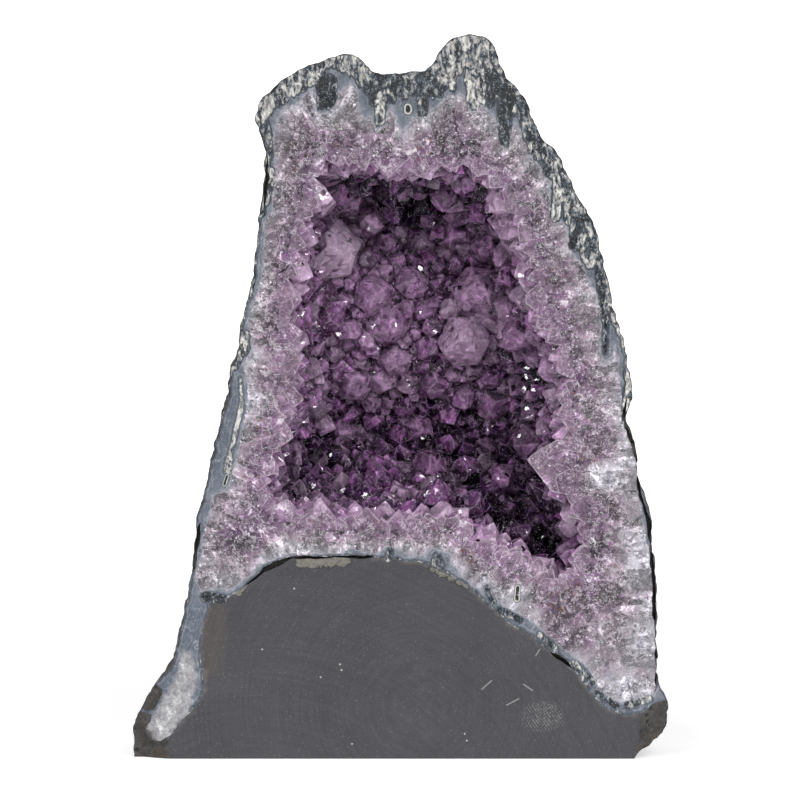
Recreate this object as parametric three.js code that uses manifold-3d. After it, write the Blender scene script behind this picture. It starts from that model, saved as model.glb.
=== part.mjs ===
// Amethyst cathedral geode: a hollow stone sawn flat on its front and on its base, so that it stands up
// and shows its cavity. From outside to inside it has three mineral pieces, one in the other like bowls:
//   basalt_matrix      the host rock: a thin skin at the sides, a solid wedge under the cavity, a rough back
//   agate_layer        blue-grey chalcedony between the rock and the quartz, with a lobe down the left side
//   amethyst_crystals  the thick quartz crust, sawn on the front, with crystal points in the cavity
// Units are millimetres. The sawn front faces -Y, +Z is up, and the origin is the centre of the base.

import * as THREE from "three";
import { mergeVertices } from "three/addons/utils/BufferGeometryUtils.js";
import Module from "manifold-3d";

const wasm = await Module();
wasm.setup();

// Driving dimensions.
const STONE_DEPTH = 138; // sawn front to the back of the rock, at its deepest
const AGATE_DEPTH = 122; // sawn front to the back of the agate
const QUARTZ_DEPTH = 116; // sawn front to the back of the quartz crust
const CAVITY_DEPTH = 94; // sawn front to the cavity wall, between the crystal points
const SKIN = 1.4; // rock left outside the agate along the sawn edge
const GAP = 0.35; // clearance between neighbouring pieces
const CRYSTAL_COVER = 5; // how far behind the tips' outline the cavity wall lies
const UNCUT = 6; // how far each piece reaches in front of the sawn face before the cut
const CRYSTAL_PITCH = 27; // mean distance between the crystals in the rows
const CRYSTAL_ROWS = 5; // rows of crystals from the rim to the back of the cavity
const FIRST_ROW = 0.055; // where the first row stands on the way from the rim (0) to the back (1)
const ROW_STEP = 0.18; // the way from one row to the next
const ROW_SCATTER = 0.07; // how far crystals stray from their row, in all
const CRYSTAL_RADIUS = [5.4, 8.8]; // least and greatest radius of the crystals in the rows
const CRYSTAL_HEIGHT = [1.3, 1.8]; // least and greatest height above the wall, in radii
const CRYSTAL_TILT = 0.6; // how far they tilt away from square to the wall
const ROOT_DEPTH = 5; // how deep a crystal stands in the wall
const TIP_HEIGHT = 1.15; // height of a crystal's six-sided tip, in radii
const PRISM_TAPER = 0.96; // radius below the tip, as a share of the radius at the root
const ROW_TIP_OFFSET = 0.15; // how far the tip stands off the axis at most, in radii
const GREAT_TIP_OFFSET = 0.2; // the same on the crystals that stand out from the rest
const CLEAR_OF_GREAT = 13; // least distance from a great crystal's foot to a row crystal's
const LUMP = 3; // half the height of the broad lumps on the rock's back
const LUMP_FADE = 25; // how far behind the sawn face they reach their height
const SOFT_FROM = 0.45; // how far along the bowls the outline's bays and horns have faded out
const SOFT_SHARE = 1 / 17; // share of the outline to each side over which they are averaged
const FINEST_EDGE = 0.05; // shorter edges, left by the cuts, are merged away
const SAME_PLACE = 1e-4; // corners closer than this are one corner
const RIM_STEPS = 720; // directions round the cavity's pole in which its rim is looked up

// Outlines in the sawn face, as [x, z] points. They run clockwise as seen from the front.
// The stone's outline closes below the base, where the base cut removes it.
const STONE_SIDES = [
  [-111, 4], [-109.5, 15], [-102.5, 29], [-95, 38], [-89.5, 61.5], [-85, 89], [-81.5, 109], [-75.5, 134.5],
  [-69.5, 158.5], [-67, 174], [-61.5, 198], [-59.5, 210.5], [-57, 230], [-55.5, 246.5], [-57, 257],
  [-60, 265], [-57, 272], [-47, 282], [-33, 289], [-20.5, 293], [-15.5, 290], [-10.5, 284.5], [-4, 284],
  [11, 286.5], [15.5, 291.5], [20.5, 298], [30, 300], [36.5, 297], [43.5, 284.5], [49.5, 278.5],
  [54.5, 267.5], [60, 256], [64.5, 252], [71, 239.5], [80.5, 221.5], [84.5, 206.5], [88, 188.5], [94, 168],
  [95.5, 149], [93.5, 141], [98, 132], [99.5, 114], [103, 103.5], [105.5, 83], [107, 54], [107.5, 32.5],
  [111, 22.5], [110.5, 13.5], [105.5, 6.5],
];
const STONE_BELOW_BASE = [
  [98, -1], [97, -20], [90, -42], [70, -58], [36, -66], [0, -68], [-36, -66], [-70, -58], [-92, -42],
  [-105, -20], [-110, -5],
];
const AGATE_FIRST = 5; // the first and last points of STONE_SIDES that the agate follows
const AGATE_LAST = 45;
const WEDGE_TOP = [
  [102.5, 21], [97.5, 18], [90.5, 19], [84, 22.5], [78, 30], [68, 41.5], [55.5, 50], [45, 57], [34, 66.5],
  [20.5, 77.5], [10.5, 81], [-10, 83.5], [-32.5, 84.5], [-50, 83], [-57, 78.5], [-64, 72], [-71.5, 67.5],
  [-79.5, 66.5], [-84, 65], [-86.4, 68],
];
const LOBE = [
  [-80.5, 82], [-79.5, 70], [-80.5, 61.5], [-82.5, 54], [-83.5, 43.5], [-82, 36.5], [-82, 28], [-84, 23],
  [-89, 18], [-94.5, 11], [-100.5, 7], [-105, 8.5], [-106, 11], [-104, 15.5], [-100.5, 23], [-97, 32.5],
  [-93.5, 37.5], [-90.5, 47.5], [-88.6, 60], [-87.2, 70], [-84.8, 82],
];
const QUARTZ = [
  [-83, 73.5], [-80.5, 95.5], [-72, 116], [-66, 129.5], [-64.5, 145], [-61.5, 170], [-58, 191.5],
  [-54.5, 212], [-53, 232], [-52, 253], [-48, 268.5], [-36.5, 274.5], [-23, 275.5], [-11.5, 264.5], [2, 262],
  [16.5, 268.5], [32.5, 268.5], [42.5, 253.5], [54, 244.5], [61.5, 234], [65, 221.5], [71.5, 209.5],
  [80.5, 199], [83.5, 180], [89.5, 165], [91, 149], [90.5, 140.5], [95, 130], [96.5, 112], [100, 101.5],
  [102.5, 82], [103.5, 54], [103.5, 33], [98.5, 24], [89.5, 25.5], [79.5, 35.5], [66.5, 45.5], [50.5, 60.5],
  [36.5, 71.5], [23, 82], [8.5, 86], [-8.5, 86.5], [-29, 86.5], [-48.5, 85], [-62, 77], [-71.5, 71.5],
  [-78, 71],
];
const CAVITY_TIPS = [
  [-51.5, 105.5], [-54.5, 118], [-49, 130.5], [-48, 143], [-45, 153.5], [-44.5, 170], [-45, 186.5],
  [-42, 203], [-40, 217.5], [-35.5, 232], [-33, 243.5], [-21.5, 248.5], [-6, 243.5], [6, 243.5], [23, 245.5],
  [36, 241.5], [41.5, 232], [50.5, 216.5], [55, 201], [54.5, 188.5], [62, 174], [66.5, 161.5], [67, 147],
  [69.5, 132.5], [66.5, 116], [72, 101.5], [74, 90.5], [70.5, 76.5], [64.5, 74.5], [57, 82], [45, 87],
  [33, 93], [23, 101], [8.5, 99.5], [-8.5, 100.5], [-25.5, 99.5], [-41.5, 102],
];

// Where the cavity wall swells towards the front (a positive rise) or falls back: [x, z, reach, rise].
const SWELLS = [
  [-18, 190, 26, 0.34], [30, 180, 24, 0.26], [8, 215, 26, -0.05], [10, 130, 36, 0.12], [62, 165, 22, 0.1],
];

// The crystals that stand out from the rest: [x, z, radius, height above the wall, tilt right, tilt up].
const GREAT_CRYSTALS = [
  [-31, 211, 11, 19, -0.1, 0.15], [-23, 229, 7, 18, 0.1, 0.7], [-15, 221, 6, 15, 0.35, 0.5],
  [33, 192, 11, 17, 0.0, 0.3], [28, 173, 11, 18, -0.2, 0.0], [-12, 192, 8, 14, 0.1, 0.1],
  [-5, 180, 9, 13, 0.3, -0.2], [-2, 165, 7, 11, 0.1, 0.2], [-20, 155, 8, 14, -0.1, 0.1],
  [4, 196, 7, 13, 0.2, 0.3], [23, 217, 7, 12, 0.0, 0.2], [37, 212, 6.5, 11, 0.2, 0.3],
  [26, 228, 7, 12, -0.1, 0.2], [12, 118, 7, 12, 0.0, -0.2], [40, 146, 8, 13, 0.1, 0.0],
  [56, 130, 8, 14, 0.3, -0.1], [15, 154, 6.5, 11, 0.1, 0.1], [8, 134, 6.5, 11, 0.0, 0.0],
  [-24, 132, 7, 11, -0.2, 0.0], [44, 112, 8, 13, 0.2, -0.2],
];

// Waves that add up to the rock's broad lumps: [share, waves a metre right, back and up, phase in turns].
const LUMP_WAVES = [
  [0.23, 8.4, 0, -5.9, 0.14], [0.23, 8.4, 0, 5.9, 0.77], [0.31, 0, 10.6, 7.6, 0.75],
  [0.23, 14.5, 0, -12.2, 0],
];

// A bowl's pole is the point in the sawn face in front of its deepest point. Squareness under 1 carries its
// walls straighter back before they turn in. Its faces are rows of quads between outlines of so many points.
const STONE_BOWL = { pole: [-5, 116], depth: STONE_DEPTH, squareness: 0.62, rows: 7, points: 100 };
const AGATE_BOWL = { pole: [12, 157], depth: AGATE_DEPTH, squareness: 0.85, rows: 5, points: 76 };
const LOBE_BOWL = { pole: [-89.5, 38], depth: 26, squareness: 0.8, rows: 4, points: 28 };
const QUARTZ_BOWL = { pole: [12, 157], depth: QUARTZ_DEPTH, squareness: 0.9, rows: 5, points: 68 };
const CAVITY_BOWL = { pole: [8, 165], depth: CAVITY_DEPTH, squareness: 0.7, rows: 6, points: 56 };

const TURN = 2 * Math.PI;
const HALF_TURN = Math.PI;
const QUARTER_TURN = Math.PI / 2;

// --- Outlines ---------------------------------------------------------------------------------------------

function smoothLoop(points, count) {
  const corners = points.map(([x, z]) => new THREE.Vector3(x, 0, z));
  const curve = new THREE.CatmullRomCurve3(corners, true, "centripetal");
  return Array.from({ length: count }, (_, i) => curve.getPoint(i / count)).map((p) => [p.x, p.z]);
}

// Moves each point of a clockwise loop outwards by a distance, or inwards if it is negative.
function offsetLoop(loop, distance) {
  return loop.map(([x, z], i) => {
    const [ax, az] = loop[(i + loop.length - 1) % loop.length];
    const [bx, bz] = loop[(i + 1) % loop.length];
    const length = Math.hypot(bx - ax, bz - az);
    return [x - ((bz - az) / length) * distance, z + ((bx - ax) / length) * distance];
  });
}

// The loop with its small bays and horns averaged away.
function softened(loop) {
  const reach = Math.round(loop.length * SOFT_SHARE);
  const around = Array.from({ length: 2 * reach + 1 }, (_, k) => k - reach);
  const average = (from) =>
    from.map((_, i) => {
      const near = around.map((k) => from[(i + k + from.length) % from.length]);
      return [0, 1].map((axis) => near.reduce((sum, point) => sum + point[axis], 0) / near.length);
    });
  return average(average(loop));
}

// --- Bowls ------------------------------------------------------------------------------------------------

// A point on a bowl: along is the way from the rim (0) to the deepest point (1).
function bowlPoint(bowl, [x, z], along) {
  const [poleX, poleZ] = bowl.pole;
  const spread = Math.cos(along * QUARTER_TURN) ** bowl.squareness;
  const depth = bowl.depth * Math.sin(along * QUARTER_TURN);
  return new THREE.Vector3(poleX + (x - poleX) * spread, depth, poleZ + (z - poleZ) * spread);
}

// A closed solid from a little in front of the sawn face back to the bowl. Its rings run from the rim's
// outline to the soft one, which they reach SOFT_FROM of the way along.
function bowlGeometry(bowl, rim, { soft = rim, shape = (p) => p } = {}) {
  const [poleX, poleZ] = bowl.pole;
  const rings = Array.from({ length: bowl.rows }, (_, row) => {
    const along = row / bowl.rows;
    const share = Math.min(1, along / SOFT_FROM);
    return rim.map(([x, z], i) => {
      const point = [x + (soft[i][0] - x) * share, z + (soft[i][1] - z) * share];
      return shape(bowlPoint(bowl, point, along));
    });
  });
  rings.unshift(rings[0].map((p) => new THREE.Vector3(p.x, -UNCUT, p.z)));
  const vertices = [
    ...rings.flat(),
    new THREE.Vector3(poleX, -UNCUT, poleZ),
    shape(new THREE.Vector3(poleX, bowl.depth, poleZ)),
  ];
  const front = vertices.length - 2;
  const back = vertices.length - 1;
  const faces = [];
  const last = (rings.length - 1) * rim.length;
  rim.forEach((_, i) => {
    const next = (i + 1) % rim.length;
    faces.push(front, next, i, back, last + i, last + next);
    for (let base = 0; base < last; base += rim.length) {
      const inner = base + rim.length;
      faces.push(base + i, base + next, inner + i, base + next, inner + next, inner + i);
    }
  });
  return new THREE.BufferGeometry().setFromPoints(vertices).setIndex(faces);
}

// Broad lumps on the rock, from 0 to twice LUMP high, which fade out at the sawn face.
function lumpyRock(point) {
  const { x, y, z } = point;
  const swell = LUMP_WAVES.reduce((sum, [share, right, back, up, phase]) => {
    const turns = (right * x + back * y + up * z) / 1000 + phase;
    return sum + share * Math.cos(turns * TURN);
  }, 0);
  const fade = Math.min(1, y / LUMP_FADE);
  const outwards = new THREE.Vector3(x, y, (z - STONE_BOWL.pole[1]) / 2).normalize();
  return point.addScaledVector(outwards, LUMP * (1 + swell) * fade);
}

// The cavity wall swells and falls back as SWELLS says.
function swellingWall(point) {
  const rise = SWELLS.reduce(
    (sum, [x, z, reach, amount]) =>
      sum + amount * Math.exp(-((point.x - x) ** 2 + (point.z - z) ** 2) / (2 * reach ** 2)),
    0,
  );
  return point.setY(point.y * (1 - rise));
}

// --- Crystals ---------------------------------------------------------------------------------------------

// A fixed value from 0 to 1 for each pair of whole numbers: the fraction of a large, fast wave.
function chance(seed, index) {
  const wave = Math.sin(seed * 127.1 + index * 311.7) * 43758.5453;
  return wave - Math.floor(wave);
}

function between([least, greatest], share) {
  return least + (greatest - least) * share;
}

const cavityRim = offsetLoop(smoothLoop(CAVITY_TIPS, CAVITY_BOWL.points), CRYSTAL_COVER);

function rimPoint(around) {
  const at = (((around % 1) + 1) % 1) * cavityRim.length;
  const i = Math.floor(at);
  const [ax, az] = cavityRim[i];
  const [bx, bz] = cavityRim[(i + 1) % cavityRim.length];
  return [ax + (bx - ax) * (at - i), az + (bz - az) * (at - i)];
}

function wallPoint(around, along) {
  return swellingWall(bowlPoint(CAVITY_BOWL, rimPoint(around), along));
}

// The way a crystal grows from the wall: into the cavity, square to the wall.
function wallNormal(around, along) {
  const STEP = 0.01;
  const a = wallPoint(around + STEP, along).sub(wallPoint(around - STEP, along));
  const b = wallPoint(around, Math.min(along + STEP, 0.999)).sub(wallPoint(around, along - STEP));
  return a.cross(b).normalize();
}

// How far round and how far along the wall the point lies that shows at [x, z] from the front.
function wallPlace(x, z) {
  const [poleX, poleZ] = CAVITY_BOWL.pole;
  const toward = Math.atan2(z - poleZ, x - poleX);
  const turnFrom = (i) => {
    const [rx, rz] = rimPoint(i / RIM_STEPS);
    return Math.abs(((Math.atan2(rz - poleZ, rx - poleX) - toward + 3 * HALF_TURN) % TURN) - HALF_TURN);
  };
  const steps = Array.from({ length: RIM_STEPS }, (_, i) => i);
  const nearest = steps.reduce((a, b) => (turnFrom(b) < turnFrom(a) ? b : a));
  const [rx, rz] = rimPoint(nearest / RIM_STEPS);
  const share = Math.min(1, Math.hypot(x - poleX, z - poleZ) / Math.hypot(rx - poleX, rz - poleZ));
  return [nearest / RIM_STEPS, Math.acos(share ** (1 / CAVITY_BOWL.squareness)) / QUARTER_TURN];
}

// A six-sided point with its root in the wall, along +Y.
function crystalGeometry(radius, height, tipOffset) {
  const shoulder = height - TIP_HEIGHT * radius;
  const profile = [
    [0, -ROOT_DEPTH],
    [radius, -ROOT_DEPTH],
    [radius * PRISM_TAPER, shoulder],
    [0, height],
  ].map(([r, h]) => new THREE.Vector2(r, h));
  const geometry = new THREE.LatheGeometry(profile, 6);
  const position = geometry.getAttribute("position");
  for (let i = 0; i < position.count; i++) {
    if (position.getY(i) > shoulder + SAME_PLACE) position.setX(i, position.getX(i) + tipOffset * radius);
  }
  return geometry;
}

function placed(geometry, point, direction, spin) {
  const upright = new THREE.Quaternion().setFromUnitVectors(new THREE.Vector3(0, 1, 0), direction);
  const spun = upright.multiply(new THREE.Quaternion().setFromAxisAngle(new THREE.Vector3(0, 1, 0), spin));
  return geometry.applyMatrix4(new THREE.Matrix4().compose(point, spun, new THREE.Vector3(1, 1, 1)));
}

const greatFeet = GREAT_CRYSTALS.map(([x, z]) => wallPoint(...wallPlace(x, z)));

function greatCrystals() {
  return GREAT_CRYSTALS.map(([, , radius, height, right, up], i) => {
    const direction = new THREE.Vector3(right, -1, up).normalize();
    const geometry = crystalGeometry(radius, height, GREAT_TIP_OFFSET);
    return placed(geometry, greatFeet[i], direction, chance(7, i) * TURN);
  });
}

// One crystal of a row, or nothing where a great crystal stands already.
function rowCrystal(row, i, count) {
  const seed = row * 40 + i;
  const around = (i + 0.5 * (row % 2) + 0.5 * (chance(1, seed) - 0.5)) / count;
  const along = FIRST_ROW + ROW_STEP * row + ROW_SCATTER * (chance(2, seed) - 0.5) * Math.sign(row);
  const foot = wallPoint(around, along);
  if (greatFeet.some((great) => great.distanceTo(foot) < CLEAR_OF_GREAT)) return [];
  const radius = between(CRYSTAL_RADIUS, chance(3, seed));
  const height = radius * between(CRYSTAL_HEIGHT, chance(4, seed));
  const scatter = new THREE.Vector3(chance(5, seed) - 0.5, -0.3 * chance(6, seed), chance(8, seed) - 0.5);
  const direction = wallNormal(around, along).addScaledVector(scatter, CRYSTAL_TILT).normalize();
  const geometry = crystalGeometry(radius, height, ROW_TIP_OFFSET * (2 * chance(9, seed) - 1));
  return [placed(geometry, foot, direction, chance(10, seed) * TURN)];
}

// Rows of large crystals round the wall, from the rim to the back.
function rowCrystals() {
  const rimLength = cavityRim.reduce((sum, [x, z], i) => {
    const [nextX, nextZ] = cavityRim[(i + 1) % cavityRim.length];
    return sum + Math.hypot(nextX - x, nextZ - z);
  }, 0);
  return Array.from({ length: CRYSTAL_ROWS }, (_, row) => {
    const girth = rimLength * Math.cos((QUARTER_TURN * row) / CRYSTAL_ROWS) ** CAVITY_BOWL.squareness;
    const count = Math.round(girth / CRYSTAL_PITCH);
    return Array.from({ length: count }, (_, i) => rowCrystal(row, i, count)).flat();
  }).flat();
}

// --- Solids -----------------------------------------------------------------------------------------------

function solidOf(geometry) {
  const bare = new THREE.BufferGeometry().setAttribute("position", geometry.getAttribute("position"));
  if (geometry.index) bare.setIndex(geometry.index);
  const merged = mergeVertices(bare, SAME_PLACE);
  const corners = merged.getAttribute("position");
  const kept = [];
  for (let i = 0; i < merged.index.count; i += 3) {
    const [a, b, c] = [0, 1, 2].map((k) => merged.index.getX(i + k));
    if (a !== b && b !== c && c !== a) kept.push(a, b, c);
  }
  return new wasm.Manifold(
    new wasm.Mesh({
      numProp: 3,
      vertProperties: new Float32Array(corners.array),
      triVerts: new Uint32Array(kept),
    }),
  );
}

function geometryOf(solid) {
  const { vertProperties, triVerts } = solid.simplify(FINEST_EDGE).getMesh();
  const geometry = new THREE.BufferGeometry()
    .setAttribute("position", new THREE.BufferAttribute(new Float32Array(vertProperties), 3))
    .setIndex(new THREE.BufferAttribute(new Uint32Array(triVerts), 1));
  geometry.computeVertexNormals();
  return geometry;
}

// The saw cuts: everything in front of the sawn face and everything below the base goes.
function sawn(solid) {
  const size = 3 * STONE_DEPTH;
  const inFront = new THREE.BoxGeometry(size, size, size).translate(0, -size / 2, size / 4);
  const below = new THREE.BoxGeometry(size, size, size).translate(0, 0, -size / 2);
  return solid.subtract(solidOf(inFront)).subtract(solidOf(below));
}

function stoneSolid() {
  const rim = smoothLoop([...STONE_SIDES, ...STONE_BELOW_BASE], STONE_BOWL.points);
  return solidOf(bowlGeometry(STONE_BOWL, rim, { soft: softened(rim), shape: lumpyRock }));
}

// A bowl that is larger all over by a clearance.
function grownBowl(bowl, rim, soft, clearance) {
  const deeper = { ...bowl, depth: bowl.depth + clearance };
  return solidOf(bowlGeometry(deeper, offsetLoop(rim, clearance), { soft: offsetLoop(soft, clearance) }));
}

// The agate's body, or with a clearance the hole that it needs in the rock.
function agateSolid(clearance) {
  const sides = offsetLoop(STONE_SIDES, -SKIN).slice(AGATE_FIRST, AGATE_LAST + 1);
  const bodyLoop = smoothLoop([...sides, ...WEDGE_TOP], AGATE_BOWL.points);
  const lobeLoop = smoothLoop(LOBE, LOBE_BOWL.points);
  const [body, lobe] = [
    [AGATE_BOWL, bodyLoop, softened(bodyLoop)],
    [LOBE_BOWL, lobeLoop, lobeLoop],
  ].map(([bowl, rim, soft]) => grownBowl(bowl, rim, soft, clearance));
  return body.add(lobe);
}

function quartzSolid(clearance) {
  const rim = smoothLoop(QUARTZ, QUARTZ_BOWL.points);
  return grownBowl(QUARTZ_BOWL, rim, softened(rim), clearance);
}

function amethystSolid() {
  const quartz = quartzSolid(0);
  const crust = quartz.subtract(solidOf(bowlGeometry(CAVITY_BOWL, cavityRim, { shape: swellingWall })));
  const crystals = [...greatCrystals(), ...rowCrystals()].map(solidOf);
  return crystals.reduce((grown, crystal) => grown.add(crystal.intersect(quartz)), crust);
}

// --- The object -------------------------------------------------------------------------------------------

const PIECES = [
  ["basalt_matrix", stoneSolid().subtract(agateSolid(GAP)), { color: 0x3a3a3f, roughness: 0.75 }],
  ["agate_layer", agateSolid(0).subtract(quartzSolid(GAP)), { color: 0x8f9fb0, roughness: 0.3 }],
  ["amethyst_crystals", amethystSolid(), { color: 0x6b4178, roughness: 0.15 }],
];

const geode = new THREE.Group();
for (const [name, solid, look] of PIECES) {
  const material = new THREE.MeshStandardMaterial({ ...look, metalness: 0 });
  const mesh = new THREE.Mesh(geometryOf(sawn(solid)), material);
  mesh.name = name;
  geode.add(mesh);
}

// The whole stone moves so that the centre of its base is the origin.
const extent = new THREE.Box3().setFromObject(geode, true);
const middle = extent.getCenter(new THREE.Vector3());
geode.position.set(-middle.x, -middle.y, -extent.min.z);

const part = new THREE.Group();
part.add(geode);

export default part;
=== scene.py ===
"""The looks of the amethyst cathedral geode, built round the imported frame.

Lengths in this script are millimetres until a mesh is made. The sawn front faces -Y and +Z is up.
    basalt_rock       the host rock: sanded front and base, rough back
    agate_band        the blue-grey chalcedony, banded, with the mottled crust at the top
    quartz_crust      the milky to purple quartz: the sawn band, the cavity wall and the rim's cut crystals
    amethyst_points   the clear crystals that stand in the cavity
    amethyst_druse    the fine clear crystals between them
"""

import math

import bmesh
import bpy
import numpy as np
from mathutils import Matrix, Vector, noise
from mathutils.geometry import delaunay_2d_cdt


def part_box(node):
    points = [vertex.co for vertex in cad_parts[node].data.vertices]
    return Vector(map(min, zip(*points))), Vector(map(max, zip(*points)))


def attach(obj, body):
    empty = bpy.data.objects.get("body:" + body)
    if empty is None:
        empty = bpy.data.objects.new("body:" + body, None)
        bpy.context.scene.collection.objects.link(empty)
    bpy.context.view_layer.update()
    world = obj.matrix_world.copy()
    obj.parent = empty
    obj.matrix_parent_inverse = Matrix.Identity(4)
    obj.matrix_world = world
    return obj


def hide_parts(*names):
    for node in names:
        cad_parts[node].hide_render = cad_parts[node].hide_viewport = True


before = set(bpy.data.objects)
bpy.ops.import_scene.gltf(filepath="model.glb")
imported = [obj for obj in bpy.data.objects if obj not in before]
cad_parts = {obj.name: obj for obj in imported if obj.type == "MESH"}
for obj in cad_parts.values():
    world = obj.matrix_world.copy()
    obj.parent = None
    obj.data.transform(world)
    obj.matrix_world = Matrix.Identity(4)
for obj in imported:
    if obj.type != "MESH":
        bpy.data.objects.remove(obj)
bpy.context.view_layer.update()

MM = 0.001
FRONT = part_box("basalt_matrix")[0].y / MM  # the sawn face's y
QUARTER_TURN = math.pi / 2
rng = np.random.default_rng(7)

# The bowls that the layers' hidden sides follow: [pole x, pole z], depth, squareness.
STONE_POLE, STONE_DEPTH, STONE_SQUARENESS = np.array([-5.0, 116.0]), 138, 0.62
QUARTZ_POLE, QUARTZ_DEPTH, QUARTZ_SQUARENESS = np.array([12.0, 157.0]), 116, 0.9
CAVITY_POLE, CAVITY_DEPTH, CAVITY_SQUARENESS = np.array([8.0, 165.0]), 94, 0.7
AGATE_LIP = 9  # how far back the agate follows its outline before it turns into a thin shell
AGATE_SHELL = 3  # the shell's thickness
BEYOND = 6  # how far cutting solids reach in front of the sawn face

# The stone's outline below its base: it shapes the back's foot and is cut off at the base.
STONE_BELOW_BASE = [
    [98, -1], [97, -20], [90, -42], [70, -58], [36, -66], [0, -68], [-36, -66], [-70, -58], [-92, -42],
    [-105, -20], [-110, -5],
]
# The outline of the crystal tips round the cavity, clockwise as seen from the front.
CAVITY_TIPS = [
    [-51.5, 105.5], [-54.5, 118], [-49, 130.5], [-48, 143], [-45, 153.5], [-44.5, 170], [-45, 186.5],
    [-42, 203], [-40, 217.5], [-35.5, 232], [-33, 243.5], [-21.5, 248.5], [-6, 243.5], [6, 243.5],
    [23, 245.5], [36, 241.5], [41.5, 232], [50.5, 216.5], [55, 201], [54.5, 188.5], [62, 174],
    [66.5, 161.5], [67, 147], [69.5, 132.5], [66.5, 116], [72, 101.5], [74, 90.5], [70.5, 76.5],
    [64.5, 74.5], [57, 82], [45, 87], [33, 93], [23, 101], [8.5, 99.5], [-8.5, 100.5], [-25.5, 99.5],
    [-41.5, 102],
]
CRYSTAL_COVER = 5  # how far behind the tips' outline the cavity wall lies
# Where the cavity wall swells towards the front or falls back: x, z, reach, rise.
SWELLS = [
    [-18, 190, 26, 0.34], [30, 180, 24, 0.26], [8, 215, 26, -0.05], [10, 130, 36, 0.12],
    [62, 165, 22, 0.1],
]
# The crystals that stand out: x, z, radius, height above the wall, tilt right, tilt up, paleness.
GREAT_CRYSTALS = [
    [-30, 211, 12.5, 21, -0.05, 0.1, 1], [-23, 229, 7, 18, 0.1, 0.7, 0.3], [-15, 221, 6, 15, 0.35, 0.5, 0.35],
    [33, 192, 10.5, 17, 0.0, 0.3, 0.5], [28, 173, 10.5, 18, -0.15, 0.0, 0.7], [-12, 192, 8, 14, 0.1, 0.1, 0.45],
    [-5, 180, 9, 13, 0.3, -0.2, 0.4], [-2, 165, 7, 11, 0.1, 0.2, 0.5], [-20, 155, 8, 14, -0.1, 0.1, 0.4],
    [4, 196, 7, 13, 0.2, 0.3, 0.35], [23, 217, 7, 12, 0.0, 0.2, 0.3], [37, 212, 6.5, 11, 0.2, 0.3, 0.3],
    [26, 228, 7, 12, -0.1, 0.2, 0.3], [12, 118, 7, 12, 0.0, -0.2, 0.2], [40, 146, 8, 13, 0.1, 0.0, 0.2],
    [56, 130, 8, 14, 0.3, -0.1, 0.3], [15, 154, 6.5, 11, 0.1, 0.1, 0.2], [8, 134, 6.5, 11, 0.0, 0.0, 0.2],
    [-24, 132, 7, 11, -0.2, 0.0, 0.3], [44, 112, 8, 13, 0.2, -0.2, 0.2],
]


# --- Outlines -----------------------------------------------------------------------------------------------


def front_loops(node):
    """The closed outlines of a CAD node's face in the sawn plane, as x, z arrays, the largest first."""
    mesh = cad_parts[node].data
    keys = {}
    corner = [keys.setdefault(tuple(round(c, 6) for c in v.co), len(keys)) for v in mesh.vertices]
    place = np.array(list(keys)) / MM
    onward = {}
    for face in mesh.polygons:
        ring = [corner[i] for i in face.vertices]
        if all(abs(place[i][1] - FRONT) < 0.01 for i in ring):
            for a, b in zip(ring, ring[1:] + ring[:1]):
                onward.setdefault(a, []).append(b)
    border = {}
    for a, nexts in onward.items():
        for b in nexts:
            if a not in onward.get(b, []):
                border[a] = b
    loops = []
    while border:
        start, at = border.popitem()
        loop = [start]
        while at != start:
            loop.append(at)
            at = border.pop(at)
        loops.append(place[loop][:, [0, 2]])
    return sorted(loops, key=lambda loop: abs(signed_area(loop)), reverse=True)


def signed_area(loop):
    x, z = loop.T
    return (x * np.roll(z, -1) - np.roll(x, -1) * z).sum() / 2


def clockwise(loop):
    return loop[::-1] if signed_area(loop) > 0 else loop


def smooth_loop(points, spacing):
    """A closed centripetal Catmull-Rom curve through the points, at equal steps."""
    points = np.asarray(points, float)
    fine = []
    for i in range(len(points)):
        p = [points[(i + k) % len(points)] for k in (-1, 0, 1, 2)]
        t = np.cumsum([0] + [max(np.hypot(*(b - a)), 1e-6) ** 0.5 for a, b in zip(p, p[1:])])
        for s in np.linspace(t[1], t[2], 12, endpoint=False):
            a = [(t[k + 1] - s) / (t[k + 1] - t[k]) * p[k] + (s - t[k]) / (t[k + 1] - t[k]) * p[k + 1] for k in range(3)]
            b = [(t[k + 2] - s) / (t[k + 2] - t[k]) * a[k] + (s - t[k]) / (t[k + 2] - t[k]) * a[k + 1] for k in range(2)]
            fine.append((t[2] - s) / (t[2] - t[1]) * b[0] + (s - t[1]) / (t[2] - t[1]) * b[1])
    return even_loop(np.array(fine), spacing)


def even_loop(loop, spacing):
    ends = np.vstack([loop, loop[:1]])
    way = np.concatenate([[0], np.cumsum(np.hypot(*np.diff(ends, axis=0).T))])
    steps = np.arange(round(way[-1] / spacing)) * way[-1] / round(way[-1] / spacing)
    return np.column_stack([np.interp(steps, way, ends[:, k]) for k in (0, 1)])


def outward(loop):
    """The outward normals of a clockwise loop."""
    along = np.roll(loop, -1, 0) - np.roll(loop, 1, 0)
    along /= np.hypot(*along.T)[:, None]
    return np.column_stack([-along[:, 1], along[:, 0]])


def offset_loop(loop, distance):
    return loop + outward(loop) * distance


def ragged(loop, *waves):
    """The loop with small natural bays and horns: (height, width, seed) for each size of them."""
    shift = np.zeros(len(loop))
    for height, width, seed in waves:
        shift += [height * noise.noise((x / width, seed, z / width)) for x, z in loop]
    return loop + outward(loop) * shift[:, None]


def softened(loop, share=1 / 17):
    reach = round(len(loop) * share)
    for _ in range(2):
        loop = np.mean([np.roll(loop, k, 0) for k in range(-reach, reach + 1)], axis=0)
    return loop


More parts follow.
